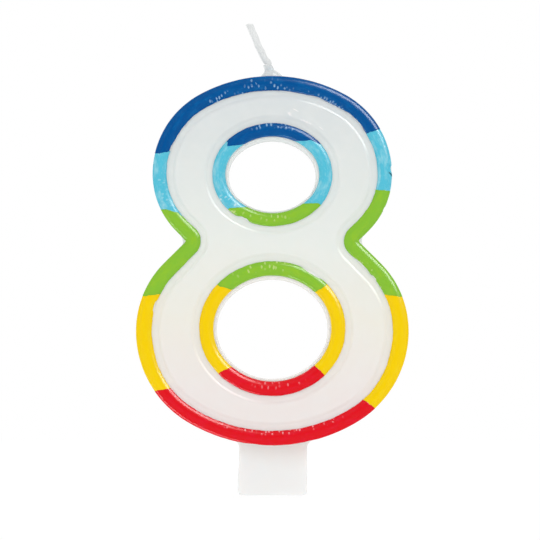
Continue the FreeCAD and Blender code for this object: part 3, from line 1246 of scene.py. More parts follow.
@dataclass
class WaxDigit:
    """The white casting: side walls, back, ribs, the swollen face, and the stem.

    The digit's surface is a set of strips that run from the back, over the walls and
    the ribs, to the face. Two fills close what is left between them. Each swell of the
    face has a wavelength, a seed and a share.
    """

    shape: DigitShape
    finish: WaxFinish
    spacing: float = 0.42
    back_spacing: float = 1.1
    back_round: float = 0.8
    back_sink: float = 0.18
    back_rim: float = 3.2
    back_ripple: float = 0.04
    hole_land: float = 0.14
    hole_taper: float = 0.3
    groove: float = 0.8
    shoulder_radius: float = 0.85
    pillow_rise: float = 0.22
    foot_fillet: float = 0.08
    crown: float = 0.12
    undulation: float = 0.07
    corner_softness: float = 0.45
    crown_reach: float = 6.0
    crown_start: float = 0.8
    swells: tuple[tuple[float, float, float], ...] = ((7.0, 3.1, 0.7), (2.6, 8.4, 0.3))
    stem_front: float = 6.0
    stem_width: float = 12.6
    stem_corner: float = 0.8
    stem_edge: float = 0.7
    stem_root: float = 1.6
    stem_lean: float = 0.3
    stem_wave: float = 0.03
    stem_overlap: tuple[float, float] = (0.4, 2.2)
    dents: tuple[Dent, ...] = (
        Dent(6.6, 68.2, -24.0, 1.9, 0.62, 0.24),
        Dent(3.2, 69.3, -40.0, 0.8, 0.6, 0.3),
        Dent(9.6, 66.4, -52.0, 1.6, 0.5, 0.1),
        Dent(19.2, 40.4, -50.0, 0.5, 0.35, 0.1),
        Dent(-6.0, 15.9, 10.0, 0.7, 0.5, -0.08),
        Dent(17.4, 50.8, 40.0, 1.4, 0.6, 0.05),
    )

    def __post_init__(self) -> None:
        """Starts an empty mesh."""
        self.points: list[np.ndarray] = []
        self.faces: list[tuple] = []
        self.count = 0

    def add_ring(self, x: np.ndarray, y: np.ndarray | float, z: np.ndarray) -> int:
        """Adds a ring of points.

        Args:
            x: Its places across.
            y: Its level, or the level of each point.
            z: Its places up.

        Returns:
            The number of its first point.
        """
        first = self.count
        level = np.broadcast_to(y, x.shape)
        self.points.append(np.stack([x, level, z], axis=1))
        self.count += len(x)
        return first

    def strip(self, outline: Outline, rows: Sequence[tuple[float, float]]) -> tuple:
        """Adds a strip of rings.

        Args:
            outline: The outline that it follows.
            rows: The depth and level of each ring.

        Returns:
            The stations, and the first point's number of the first and last ring.
        """
        stations = outline.ring(self.spacing)
        numbers = []
        for depth, level in rows:
            swell = self.shape.wall_swell(level) if outline is self.shape.rim else 0.0
            x, z = outline.place(stations, depth, swell)
            numbers.append(self.add_ring(x, level, z))
        for low, high in zip(numbers, numbers[1:]):
            self.faces += quad_strip(low, high, len(stations))
        return stations, numbers[0], numbers[-1]

    def wall_rows(self, land: float, taper: float) -> list[tuple[float, float]]:
        """Depth and level from the flat of the back, round its edge, to the front.

        Args:
            land: The wall's depth at the front. A hole's wall has a negative one.
            taper: How much less deep it is at the back.

        Returns:
            The rows, back to front.
        """
        round_steps, wall_steps = 7, 16
        back, front, radius = self.shape.back_y, self.shape.floor_y, self.back_round
        rows = [(land - taper + self.back_rim, back)]
        for turn in np.linspace(0, math.pi / 2, round_steps):
            inset = radius * (1 - math.sin(turn))
            rows.append((land - taper + inset, back - radius * (1 - math.cos(turn))))
        for level in np.linspace(back - radius, front, wall_steps)[1:]:
            rows.append((land - taper * (level - front) / (back - front), level))
        return rows

    def rib_rows(self, profile: RibProfile) -> list[tuple[float, float]]:
        """Depth and level over the rib, from its outer foot to its inner foot.

        Args:
            profile: The rib's section.

        Returns:
            The rows, from the outside in.
        """
        steps = 22
        walked = np.linspace(profile.wall, profile.length, steps + 1)[1:]
        depths, levels, _, _ = profile.at(walked)
        groove = self.shape.floor_y - self.shape.groove_rise
        levels = np.where(walked > profile.length / 2, np.minimum(levels, groove), levels)
        return list(zip(depths, levels))

    def face_level(self, x: np.ndarray, z: np.ndarray) -> np.ndarray:
        """The level of the white face: groove, rounded shoulder, low crown and dents.

        Args:
            x: Places across.
            z: Places up.

        Returns:
            The Y of the face at each place.
        """
        nearest, step = np.zeros_like(x), 0.12
        for outline, foot in self.feet():
            edge = np.array(outline.place(np.arange(0, outline.total, step), foot))
            nearest += np.exp(-gaps_to(edge, x, z) / self.corner_softness)
        gap = -self.corner_softness * np.log(nearest)
        radius = self.shoulder_radius
        short = np.clip(self.groove + radius - gap, 0, radius)
        arc = np.sqrt(radius**2 - short**2) - radius + self.pillow_rise
        lift = (arc + np.sqrt(arc**2 + self.foot_fillet**2)) / 2
        lift = lift * smoothstep(0, 0.3, gap) + self.shape.groove_rise
        inside = self.groove + self.crown_start
        lift += self.crown * smoothstep(inside, self.crown_reach, gap)
        swell = sum(rolling(x, z, wave, seed) * share for wave, seed, share in self.swells)
        lift += self.undulation * swell * smoothstep(0.2, 1.5, gap)
        for dent in self.dents:
            lift += dent.lift(x, z) * smoothstep(self.groove, inside, gap)
        return self.shape.floor_y - lift

    def feet(self) -> list[tuple[Outline, float]]:
        """The ribs' inner feet.

        Returns:
            Each outline, with the depth of its rib's inner foot.
        """
        shape = self.shape
        return [
            (shape.rim, shape.rim_width),
            (shape.upper_edge, shape.hole_rib_start + shape.upper_rib_width),
            (shape.lower_edge, shape.hole_rib_start + shape.lower_rib_width),
        ]

    def fill(
        self, loops: Sequence[tuple[Outline, np.ndarray, float, int]], grid: float
    ) -> tuple[np.ndarray, int]:
        """Fills the flat region between three rings with small triangles.

        Args:
            loops: Outline, stations, depth and first point's number of each ring.
            grid: The distance between the points put inside.

        Returns:
            The X and Z of the new points, and the number of the first one.
        """
        rings = [np.stack(o.place(s, d), axis=1) for o, s, d, _ in loops]
        spots = self.inner_spots(rings, grid)
        plan = [Vector(p) for p in np.concatenate([*rings, spots])]
        edges, start = [], 0
        for ring in rings:
            size = len(ring)
            edges += [(start + k, start + (k + 1) % size) for k in range(size)]
            start += size
        found = delaunay_2d_cdt(plan, edges, [], 0, 1e-6)
        where, triangles, sources = np.array([tuple(p) for p in found[0]]), found[2], found[3]
        new = self.count
        numbers = np.concatenate(
            [np.arange(len(r)) + first for r, (_, _, _, first) in zip(rings, loops)]
            + [np.arange(len(spots)) + new]
        )
        lookup = [int(numbers[origin[0]]) for origin in sources]
        corners = np.array(triangles)
        middles = where[corners].mean(axis=1)
        inside = self.is_between(middles, rings)
        self.faces += [tuple(lookup[k] for k in face) for face in corners[inside]]
        return spots, new

    @staticmethod
    def is_between(spots: np.ndarray, rings: Sequence[np.ndarray]) -> np.ndarray:
        """Whether each spot is inside the first ring and outside the others.

        Args:
            spots: Rows of X and Z.
            rings: The three rings, as rows of X and Z.

        Returns:
            A true or false for each spot.
        """
        inside = np.zeros(len(spots), bool)
        for ring in rings:
            after = np.roll(ring, -1, axis=0)
            for (ax, az), (bx, bz) in zip(ring, after):
                if az == bz:
                    continue
                crosses = (az > spots[:, 1]) != (bz > spots[:, 1])
                level = (bx - ax) * (spots[:, 1] - az) / (bz - az) + ax
                inside ^= crosses & (spots[:, 0] < level)
        return inside

    def inner_spots(self, rings: Sequence[np.ndarray], grid: float) -> np.ndarray:
        """A triangular grid of spots between the rings, kept a little off them.

        Args:
            rings: The three rings, as rows of X and Z.
            grid: The distance between two spots.

        Returns:
            Rows of X and Z.
        """
        low, high = rings[0].min(axis=0), rings[0].max(axis=0)
        rows = np.arange(low[1], high[1], grid * math.sqrt(3) / 2)
        lines = []
        for k, z in enumerate(rows):
            x = np.arange(low[0] + (k % 2) * grid / 2, high[0], grid)
            lines.append(np.stack([x, np.full_like(x, z)], axis=1))
        spots = np.concatenate(lines)
        spots = spots[self.is_between(spots, rings)]
        return spots[gaps_to(np.concatenate(rings).T, *spots.T) > grid * 0.6]

    def casting(self) -> Object:
        """Builds the digit without its stem.

        Returns:
            A closed mesh object.
        """
        shape, strips = self.shape, []
        rib = RibProfile(0, shape.rim_width, shape.floor_y, shape.rib_height, 0)
        plans = [(shape.rim, rib, 0, 0)]
        for outline, width in (
            (shape.upper_edge, shape.upper_rib_width),
            (shape.lower_edge, shape.lower_rib_width),
        ):
            rib = RibProfile(shape.hole_rib_start, width, shape.floor_y, shape.rib_height, 0)
            plans.append((outline, rib, -self.hole_land, self.hole_taper))
        foot_gap, groove_steps, shoulder_steps = 0.08, 5, 16
        face_from = self.groove + self.shoulder_radius + 0.5
        in_groove = np.linspace(foot_gap, self.groove, groove_steps)
        over_shoulder = np.linspace(self.groove, face_from, shoulder_steps)[1:]
        gaps = np.concatenate([in_groove, over_shoulder])
        for outline, rib, land, taper in plans:
            rows = self.wall_rows(land, taper)
            if land:
                rows.append((shape.hole_rib_start, shape.floor_y))
            rows += self.rib_rows(rib)
            foot = rows[-1][0]
            rows += [(foot + gap, shape.floor_y) for gap in gaps]
            stations, first, last = self.strip(outline, rows)
            strips.append((outline, stations, rows, first, last))
        back = [(o, s, rows[0][0], first) for o, s, rows, first, _ in strips]
        spots, start = self.fill(back, self.back_spacing)
        self.add_ring(spots[:, 0], shape.back_y, spots[:, 1])
        back_numbers = np.arange(start, start + len(spots))
        front = [(o, s, rows[-1][0], last) for o, s, rows, _, last in strips]
        spots, start = self.fill(front, self.spacing)
        self.add_ring(spots[:, 0], shape.floor_y, spots[:, 1])
        cloud = np.concatenate(self.points)
        face_numbers = list(range(start, start + len(spots)))
        for _, stations, _, _, last in strips:
            size = len(stations)
            face_numbers += range(last - size * (len(gaps) - 1), last + size)
        cloud[face_numbers, 1] = self.face_level(cloud[face_numbers, 0], cloud[face_numbers, 2])
        self.sink_back(cloud, back_numbers)
        return mesh_piece("wax_digit", cloud, self.faces)

    def sink_back(self, cloud: np.ndarray, numbers: np.ndarray) -> None:
        """Lets the poured back sink a little where the wax was thickest.

        Args:
            cloud: All points of the digit, whose levels are changed.
            numbers: The numbers of the points on the back.
        """
        x, z, step = cloud[numbers, 0], cloud[numbers, 2], 0.4
        rings = [o.place(np.arange(0, o.total, step), self.back_rim) for o, _ in self.feet()]
        gap = gaps_to(np.concatenate(rings, axis=1), x, z)
        sink = self.back_sink * smoothstep(0, self.back_rim, gap)
        sink += self.back_ripple * rolling(x, z, 5.0, 1.7) * smoothstep(0, 1, gap)
        cloud[numbers, 1] -= np.maximum(sink, 0)

    def stem_outline(self) -> list[tuple[float, float]]:
        """The stem's plan: a foot with round corners, and brackets under the digit.

        Returns:
            Its corners, as X and Z.
        """
        corner_steps, side_steps, bracket_steps = 9, 12, 8
        half, corner, root = self.stem_width / 2, self.stem_corner, self.stem_root
        low = self.shape.lower
        reach = self.shape.lower_cap + root
        bracket_x = half + root
        bracket_z = low.cap_z - math.sqrt(reach**2 - bracket_x**2)
        meets = math.atan2(low.cap_z - bracket_z, -bracket_x)
        right = []
        for turn in np.linspace(-math.pi / 2, 0, corner_steps):
            x = half - corner + corner * math.cos(turn)
            right.append((x, corner + corner * math.sin(turn)))
        for level in np.linspace(corner, bracket_z, side_steps)[1:-1]:
            right.append((half - self.stem_wave * math.sin(level * 1.3), level))
        for turn in np.linspace(math.pi, meets, bracket_steps):
            x = bracket_x + root * math.cos(turn)
            right.append((x, bracket_z + root * math.sin(turn)))
        inwards, upwards = self.stem_overlap
        right.append((right[-1][0] - inwards, right[-1][1] + upwards))
        drawn_in = self.stem_lean * smoothstep(corner, bracket_z, [z for _, z in right])
        left = [(inset - x, z) for (x, z), inset in zip(right, drawn_in)]
        return right + left[::-1]

    def stem(self) -> Object:
        """Builds the stem as a plate with softened edges.

        Returns:
            A closed mesh object, whose top is inside the digit.
        """
        plan = self.stem_outline()
        back, front = self.shape.back_y, self.shape.back_y - self.stem_front
        size = len(plan)
        points = [(x, front, z) for x, z in plan] + [(x, back, z) for x, z in plan]
        faces = [tuple(range(size)), tuple(range(2 * size - 1, size - 1, -1))]
        faces += quad_strip(0, size, size)
        plate = mesh_piece("stem", np.array(points), faces)
        bevel = plate.modifiers.new("edges", "BEVEL")
        bevel.width = self.stem_edge * MM
        bevel.segments = 5
        bevel.limit_method = "ANGLE"
        bevel.angle_limit = math.radians(60)
        return applied(plate)

    def build(self) -> Object:
        """Builds the whole casting and dresses it.

        Returns:
            The piece, riding on the candle's body.
        """
        digit, stem = self.casting(), self.stem()
        union = digit.modifiers.new("cast in one", "BOOLEAN")
        union.operation = "UNION"
        union.solver = "EXACT"
        union.object = stem
        piece = applied(digit)
        bpy.data.objects.remove(stem)
        piece.data.polygons.foreach_set("use_smooth", [True] * len(piece.data.polygons))
        piece.data.materials.clear()
        piece.data.materials.append(self.finish.material(self.shape))
        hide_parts("wax_body")
        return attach(piece, CANDLE_BODY)


# ---- the lacquer bands --------------------------------------------------------


@dataclass(frozen=True)
class Seam:
    """Where two colours meet: a straight brush edge across the rib.

    The angle is seen from the middle of the seam's loop, and the slope is the
    edge's own direction, both in degrees anticlockwise from +X.
    """

    angle: float
    slope: float
    centre_z: float

    def stations(self, outline: Outline, depth: np.ndarray, middle: float) -> np.ndarray:
        """Where the seam crosses the outline at several depths.

        Args:
            outline: The outline of the rib.
            depth: The depths to cross it at.
            middle: The depth of the rib's middle.

        Returns:
            One station for each depth.
        """
        reach, steps = 6, 1201
        near = outline.station_at(self.centre_z, self.angle, middle)
        x0, z0 = outline.place(np.array([near]), middle)
        turn = math.radians(self.slope)
        search = near + np.linspace(-reach, reach, steps)
        found = np.zeros(len(depth))
        for k, level in enumerate(depth):
            x, z = outline.place(search, level)
            side = (x - x0) * math.sin(turn) - (z - z0) * math.cos(turn)
            flips = np.nonzero(np.sign(side[:-1]) != np.sign(side[1:]))[0]
            pick = flips[np.argmin(np.abs(search[flips] - near))] if len(flips) else steps // 2
            share = side[pick] / (side[pick] - side[pick + 1]) if len(flips) else 0
            found[k] = search[pick] + share * (search[1] - search[0])
        return found


@dataclass(frozen=True)
class Slip:
    """A place where the brush left the edge of the rib, or ran past it.

    The angle is seen from the middle of the loop. A positive reach draws the
    lacquer back from the edge, and a negative one lets it run on.
    """

    angle: float
    centre_z: float
    half_length: float
    reach: float
    inner: bool = True


@dataclass(frozen=True)
class Tail:
    """A sliver of the colour underneath that runs on past its seam, along one edge."""

    at_end: bool
    length: float
    inner: bool = True


@dataclass(frozen=True)
class TickArc:
    """A stretch of a rib with short marks, bumps with painted highlights, between two angles and two
    shares across.
    """

    centre_z: float
    low: float
    high: float
    start: float
    stop: float
    strength: float = 1.0


@dataclass(frozen=True)
class Band:
    """One colour's stretch of one rib."""

    node: str
    dye: Dye
    start: Seam
    end: Seam
    layer: int
    tails: tuple[Tail, ...] = ()
    slips: tuple[Slip, ...] = ()


@dataclass
class LacquerCoat:
    """All the bands on one rib, laid over the same section.

    Middle is the depth of the rib's middle, and the skirt is how far the coat runs
    down the side wall. Its outer edge wavers over the first length, and its inner edge
    over the other two.
    """

    outline: Outline
    profile: RibProfile
    shape: DigitShape
    bands: Sequence[Band]
    middle: float
    skirt: float
    tick_arcs: Sequence[TickArc]
    thickness: float = 0.13
    layer_step: float = 0.02
    overlap: float = 0.3
    edge_round: float = 0.16
    corner: float = 0.12
    waver: float = 0.07
    skirt_waver: float = 0.154
    waver_lengths: tuple[float, float, float] = (9.0, 6.0, 1.6)
    seam_waver: float = 0.08
    seam_wave: float = 1.7
    crowding: float = 0.6
    root: float = 0.05
    air: float = 0.002
    skirt_share: float = 0.35
    edge_fade: float = 0.13
    ripple_height: float = 0.025
    ripple_length: float = 1.0
    spacing: float = 0.11
    rows: int = 34

    def edges(self, band: Band, station: np.ndarray, seed: int) -> tuple:
        """Where the band's outer and inner edge lie on the section.

        Args:
            band: The band.
            station: Stations along the rib.
            seed: Which random wavering it has.

        Returns:
            Distances along the section of the outer and of the inner edge.
        """
        outer = np.full_like(station, self.profile.wall - self.skirt)
        outer_length, inner_length, fine_length = self.waver_lengths
        outer += self.skirt_waver * (1 + wander(station, seed, outer_length)) * (self.skirt > 0)
        inner = np.full_like(station, self.profile.length - self.shape.groove_rise + 0.1)
        inner -= self.waver * (1 + wander(station, seed + 1, inner_length))
        inner -= self.waver / 2 * np.maximum(wander(station, seed + 2, fine_length), 0)
        for slip in band.slips:
            centre = self.outline.station_at(slip.centre_z, slip.angle, self.middle)
            off = np.mod(station - centre + self.outline.total / 2, self.outline.total)
            off -= self.outline.total / 2
            push = slip.reach * np.exp(-((off / slip.half_length) ** 4))
            if slip.inner:
                inner -= push
            else:
                outer += push
        return outer, inner

    def grid(self, band: Band, seed: int) -> tuple[np.ndarray, ...]:
        """Stations and section distances of the band's grid of points.

        Args:
            band: The band.
            seed: Which random wavering it has.

        Returns:
            Stations, distances along the section, and distances to the band's edge.
        """
        crowded = (1 - np.cos(np.linspace(0, math.pi, self.rows))) / 2
        even = np.linspace(0, 1, self.rows)
        share = self.crowding * crowded + (1 - self.crowding) * even
        rough = share * self.profile.length
        depth = self.profile.at(rough)[0]
        start = band.start.stations(self.outline, depth, self.middle)
        end = band.end.stations(self.outline, depth, self.middle)
        end = np.where(end < start, end + self.outline.total, end)
        base = 20 * seed
        start += self.seam_waver * wander(depth, base + 5, self.seam_wave)
        end += self.seam_waver * wander(depth, base + 6, self.seam_wave)
        if band.layer:
            blunt = self.corner * np.abs(2 * share - 1) ** 5
            start += blunt
            end -= blunt
        under = self.overlap if band.layer == 0 else 0.0
        start -= under
        end += under
        for tail in band.tails:
            at_edge = share if tail.inner else 1 - share
            run = tail.length * smoothstep(0.68, 0.9, at_edge)
            if tail.at_end:
                end += run
            else:
                start -= run
        fewest = 12
        columns = max(fewest, math.ceil(float((end - start).mean()) / self.spacing))
        walk = np.linspace(0, 1, columns)
        station = start[:, None] + (end - start)[:, None] * walk[None, :]
        outer, inner = self.edges(band, station, base)
        section = outer + (inner - outer) * share[:, None]
        side = np.minimum(section - outer, inner - section)
        tip = np.minimum(station - start[:, None], end[:, None] - station)
        return station, section, np.minimum(side, tip)

    def surface(
        self, station: np.ndarray, section: np.ndarray, lift: np.ndarray | float
    ) -> np.ndarray:
        """Points at a height over the wax of the rib.

        Args:
            station: Stations along the rib.
            section: Distances along its section.
            lift: Heights over the wax.

        Returns:
            An array of points.
        """
        depth, level, out_d, out_y = self.profile.at(section)
        swell = self.shape.wall_swell(level) if self.outline is self.shape.rim else 0.0
        x, z = self.outline.place(station, depth + out_d * lift, swell)
        return np.stack([x, level + out_y * lift, z], axis=-1)

    def ticks(self, station: np.ndarray, section: np.ndarray) -> np.ndarray:
        """Where the rib has short marks, 0 to 1: the material paints highlights on them and raises
        bumps.

        Args:
            station: Stations along the rib.
            section: Distances along its section, from its outer foot.

        Returns:
            The marks' strength at each point.
        """
        total, fade = np.zeros_like(station), 0.08
        length = self.profile.length - self.profile.wall
        for arc in self.tick_arcs:
            first = self.outline.station_at(arc.centre_z, arc.high, self.middle)
            last = self.outline.station_at(arc.centre_z, arc.low, self.middle)
            reach = np.mod(last - first, self.outline.total)
            off = np.mod(station - first + 5, self.outline.total) - 5
            along = smoothstep(-1, 1, off) * (1 - smoothstep(reach - 1, reach + 1, off))
            share = section / length
            across = smoothstep(arc.start - fade, arc.start + fade, share)
            across = across * (1 - smoothstep(arc.stop - fade, arc.stop + fade, share))
            total = np.maximum(total, arc.strength * along * across)
        return total

    def build_band(self, band: Band, seed: int, relief: ReliefTree) -> Object:
        """Builds one band as a closed skin with a rounded edge.

        Args:
            band: The band.
            seed: Its random number.
            relief: The tree that raises its unevenness.

        Returns:
            The piece, riding on the candle's body.
        """
        station, section, edge = self.grid(band, seed)
        crest = smoothstep(self.profile.wall - 0.3, self.profile.wall + 0.8, section)
        share = self.skirt_share + (1 - self.skirt_share) * crest
        full = self.thickness * share + self.layer_step * band.layer
        near = 1 - np.clip(edge / self.edge_round, 0, 1)
        top = self.surface(station, section, full * np.sqrt(1 - near**2) + self.air)
        sunk = self.surface(station, section, -self.root)
        rows, columns = station.shape
        size = rows * columns
        points = np.concatenate([top.reshape(-1, 3), sunk.reshape(-1, 3)])
        faces = []
        for row in range(rows - 1):
            first, second = row * columns, (row + 1) * columns
            faces += quad_strip(first, second, columns, closed=False)
            faces += quad_strip(size + first, size + second, columns, closed=False)
        border = list(range(columns))
        border += [row * columns + columns - 1 for row in range(1, rows)]
        border += [(rows - 1) * columns + k for k in range(columns - 2, -1, -1)]
        border += [row * columns for row in range(rows - 2, 0, -1)]
        for here, there in zip(border, border[1:] + border[:1]):
            faces.append((here, there, size + there, size + here))
        skin = mesh_piece(band.node.replace("coat", "lacquer"), points, faces)
        # ticks marks where the material paints highlights and raises bumps; edge marks where it paints
        # shade near the band's edges.
        held = {
            "relief": smoothstep(0.02, 0.3, edge),
            "ticks": self.ticks(station, section - self.profile.wall),
            "edge": np.exp(-edge / self.edge_fade),
        }
        for name, values in held.items():
            set_attribute(skin, name, np.concatenate([values.ravel(), np.zeros(size)]))
        run = np.stack([station, section, np.zeros_like(section)], axis=-1)
        set_attribute(skin, "run", np.concatenate([run.reshape(-1, 3), np.zeros((size, 3))]))
        settings = {
            "Ripple Height": self.ripple_height,
            "Ripple Length": self.ripple_length,
            "Seed": float(seed),
            "Material": finished(band.dye),
        }
        piece = relief.run_on(skin, settings)
        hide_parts(band.node)
        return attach(piece, CANDLE_BODY)


@cache
def finished(dye: Dye) -> Material:
    """The material of a colour, made once."""
    return dye.value.material()


@dataclass
class Lacquering:
    """The three coats: round the rim, and round the upper and the lower hole."""

    shape: DigitShape

    def rim_coat(self) -> LacquerCoat:
        """The coat on the outer rib, which also runs down the side wall.

        Returns:
            The coat.
        """
        shape = self.shape
        up, low = shape.upper.side_z, shape.lower.side_z
        navy_left, navy_right = Seam(169.5, 5, up), Seam(22.5, 20, up)
        sky_left, sky_right = Seam(199.2, -6, up), Seam(-8.2, -5, up)
        green_left, green_right = Seam(163.8, 4, low), Seam(15.9, -5, low)
        red_left, red_right = Seam(208.0, 13, low), Seam(-36.7, -39, low)
        bands = [
            Band(
                "rim_coat_navy", Dye.NAVY, navy_left, navy_right, 2,
                slips=(Slip(166, up, 1.1, 0.3), Slip(34, up, 2.4, 0.3), Slip(60, up, 1.6, 0.2)),
            ),
            Band(
                "rim_coat_sky_right", Dye.SKY, navy_right, sky_right, 0,
                tails=(Tail(True, 2.6, inner=False),),
                slips=(Slip(2.0, up, 0.9, 1.45, inner=False),),
            ),
            Band(
                "rim_coat_green_right", Dye.GREEN, sky_right, green_right, 1,
                slips=(
                    Slip(-17, up, 0.6, 1.3, inner=False),
                    Slip(-38, up, 2.4, 1.15, inner=False),
                    Slip(36, low, 2.0, 0.35),
                    Slip(28.5, low, 0.7, 0.3),
                ),
            ),
            Band("rim_coat_yellow_right", Dye.YELLOW, green_right, red_right, 0),
            Band(
                "rim_coat_red", Dye.RED, red_right, red_left, 2,
                slips=(Slip(-90, low, 19.0, 1.2, inner=False),),
            ),
            Band(
                "rim_coat_yellow_left", Dye.YELLOW, red_left, green_left, 0,
                slips=(Slip(168, low, 1.2, 0.35),),
            ),
            Band(
                "rim_coat_green_left", Dye.GREEN, green_left, sky_left, 1,
                slips=(Slip(203, up, 1.0, 0.3), Slip(221, up, 1.0, 0.9, inner=False)),
            ),
            Band(
                "rim_coat_sky_left", Dye.SKY, sky_left, navy_left, 0,
                tails=(Tail(False, 2.2),),
                slips=(Slip(178, up, 3.2, 0.15),),
            ),
        ]
        # Where the rib gets short marks with painted highlights.
        ticks = (
            TickArc(up, 84, 131, 0.55, 0.9),
            TickArc(up, 88, 108, 0.1, 0.5, 0.7),
            TickArc(up, 40, 84, 0.66, 0.92, 0.9),
            TickArc(up, 180, 200, 0.3, 0.8, 0.3),
            TickArc(low, -119, -52, 0.66, 0.9),
            TickArc(low, -160, -119, 0.72, 0.92, 0.7),
            TickArc(low, 28, 42, 0.6, 0.95, 0.6),
        )
        wall, skirt, middle = 1.6, 1.1, shape.rim_width / 2
        profile = RibProfile(0, shape.rim_width, shape.floor_y, shape.rib_height, wall)
        return LacquerCoat(shape.rim, profile, shape, bands, middle, skirt, ticks)

    def hole_coat(
        self, outline: Outline, width: float, bands: list[Band], ticks: tuple[TickArc, ...]
    ) -> LacquerCoat:
        """A coat on the rib round a hole.

        Args:
            outline: The hole's edge.
            width: The rib's width.
            bands: The coat's bands.
            ticks: Where it has brush marks.

        Returns:
            The coat.
        """
        shape, start = self.shape, self.shape.hole_rib_start
        profile = RibProfile(start, width, shape.floor_y, shape.rib_height, 0)
        return LacquerCoat(outline, profile, shape, bands, start + width / 2, 0, ticks)

    def upper_coat(self) -> LacquerCoat:
        """The coat round the upper hole.

        Returns:
            The coat.
        """
        shape, z = self.shape, self.shape.upper_hole[0]
        navy_left, navy_right = Seam(143.9, 6, z), Seam(45.5, 5, z)
        green_left, green_right = Seam(223.5, 3.5, z), Seam(-35.7, 0, z)
        bands = [
            Band(
                "upper_hole_coat_navy", Dye.NAVY, navy_left, navy_right, 2,
                tails=(Tail(False, -0.9), Tail(True, 1.2)),
            ),
            Band("upper_hole_coat_sky_right", Dye.SKY, navy_right, green_right, 0),
            Band(
                "upper_hole_coat_green", Dye.GREEN, green_right, green_left, 1,
                slips=(Slip(236, z, 1.0, 0.45),),
            ),
            Band(
                "upper_hole_coat_sky_left", Dye.SKY, green_left, navy_left, 0,
                tails=(Tail(True, 1.0),),
            ),
        ]
        # Where the rib gets short marks with painted highlights.
        ticks = (
            TickArc(z, 60, 112, 0.6, 0.9),
            TickArc(z, 200, 232, 0.2, 0.9, 0.9),
            TickArc(z, 232, 290, 0.15, 0.55, 0.8),
        )
        return self.hole_coat(shape.upper_edge, shape.upper_rib_width, bands, ticks)

    def lower_coat(self) -> LacquerCoat:
        """The coat round the lower hole.

        Returns:
            The coat.
        """
        shape, z = self.shape, self.shape.lower_hole[0]
        green_left, green_right = Seam(139.5, -17, z), Seam(39, 31, z)
        red_left, red_right = Seam(221, 25, z), Seam(-41, -42, z)
        bands = [
            Band(
                "lower_hole_coat_green", Dye.GREEN, green_left, green_right, 1,
                slips=(Slip(54, z, 1.8, 0.4),),
            ),
            Band("lower_hole_coat_yellow_right", Dye.YELLOW, green_right, red_right, 0),
            Band("lower_hole_coat_red", Dye.RED, red_right, red_left, 2),
            Band("lower_hole_coat_yellow_left", Dye.YELLOW, red_left, green_left, 0),
        ]
        # Where the rib gets short marks with painted highlights.
        ticks = (TickArc(z, 75, 125, 0.4, 0.95, 0.8), TickArc(z, -110, -60, 0.1, 0.5, 0.6))
        return self.hole_coat(shape.lower_edge, shape.lower_rib_width, bands, ticks)

    def build(self) -> list[Object]:
        """Builds every band and reports it.

        Returns:
            The pieces.
        """
        relief, pieces = ReliefTree(), []
        for coat in (self.rim_coat(), self.upper_coat(), self.lower_coat()):
            for band in coat.bands:
                piece = coat.build_band(band, len(pieces) + 1, relief)
                report(piece)
                pieces.append(piece)
        return pieces


# ---- the wick and its collar --------------------------------------------------


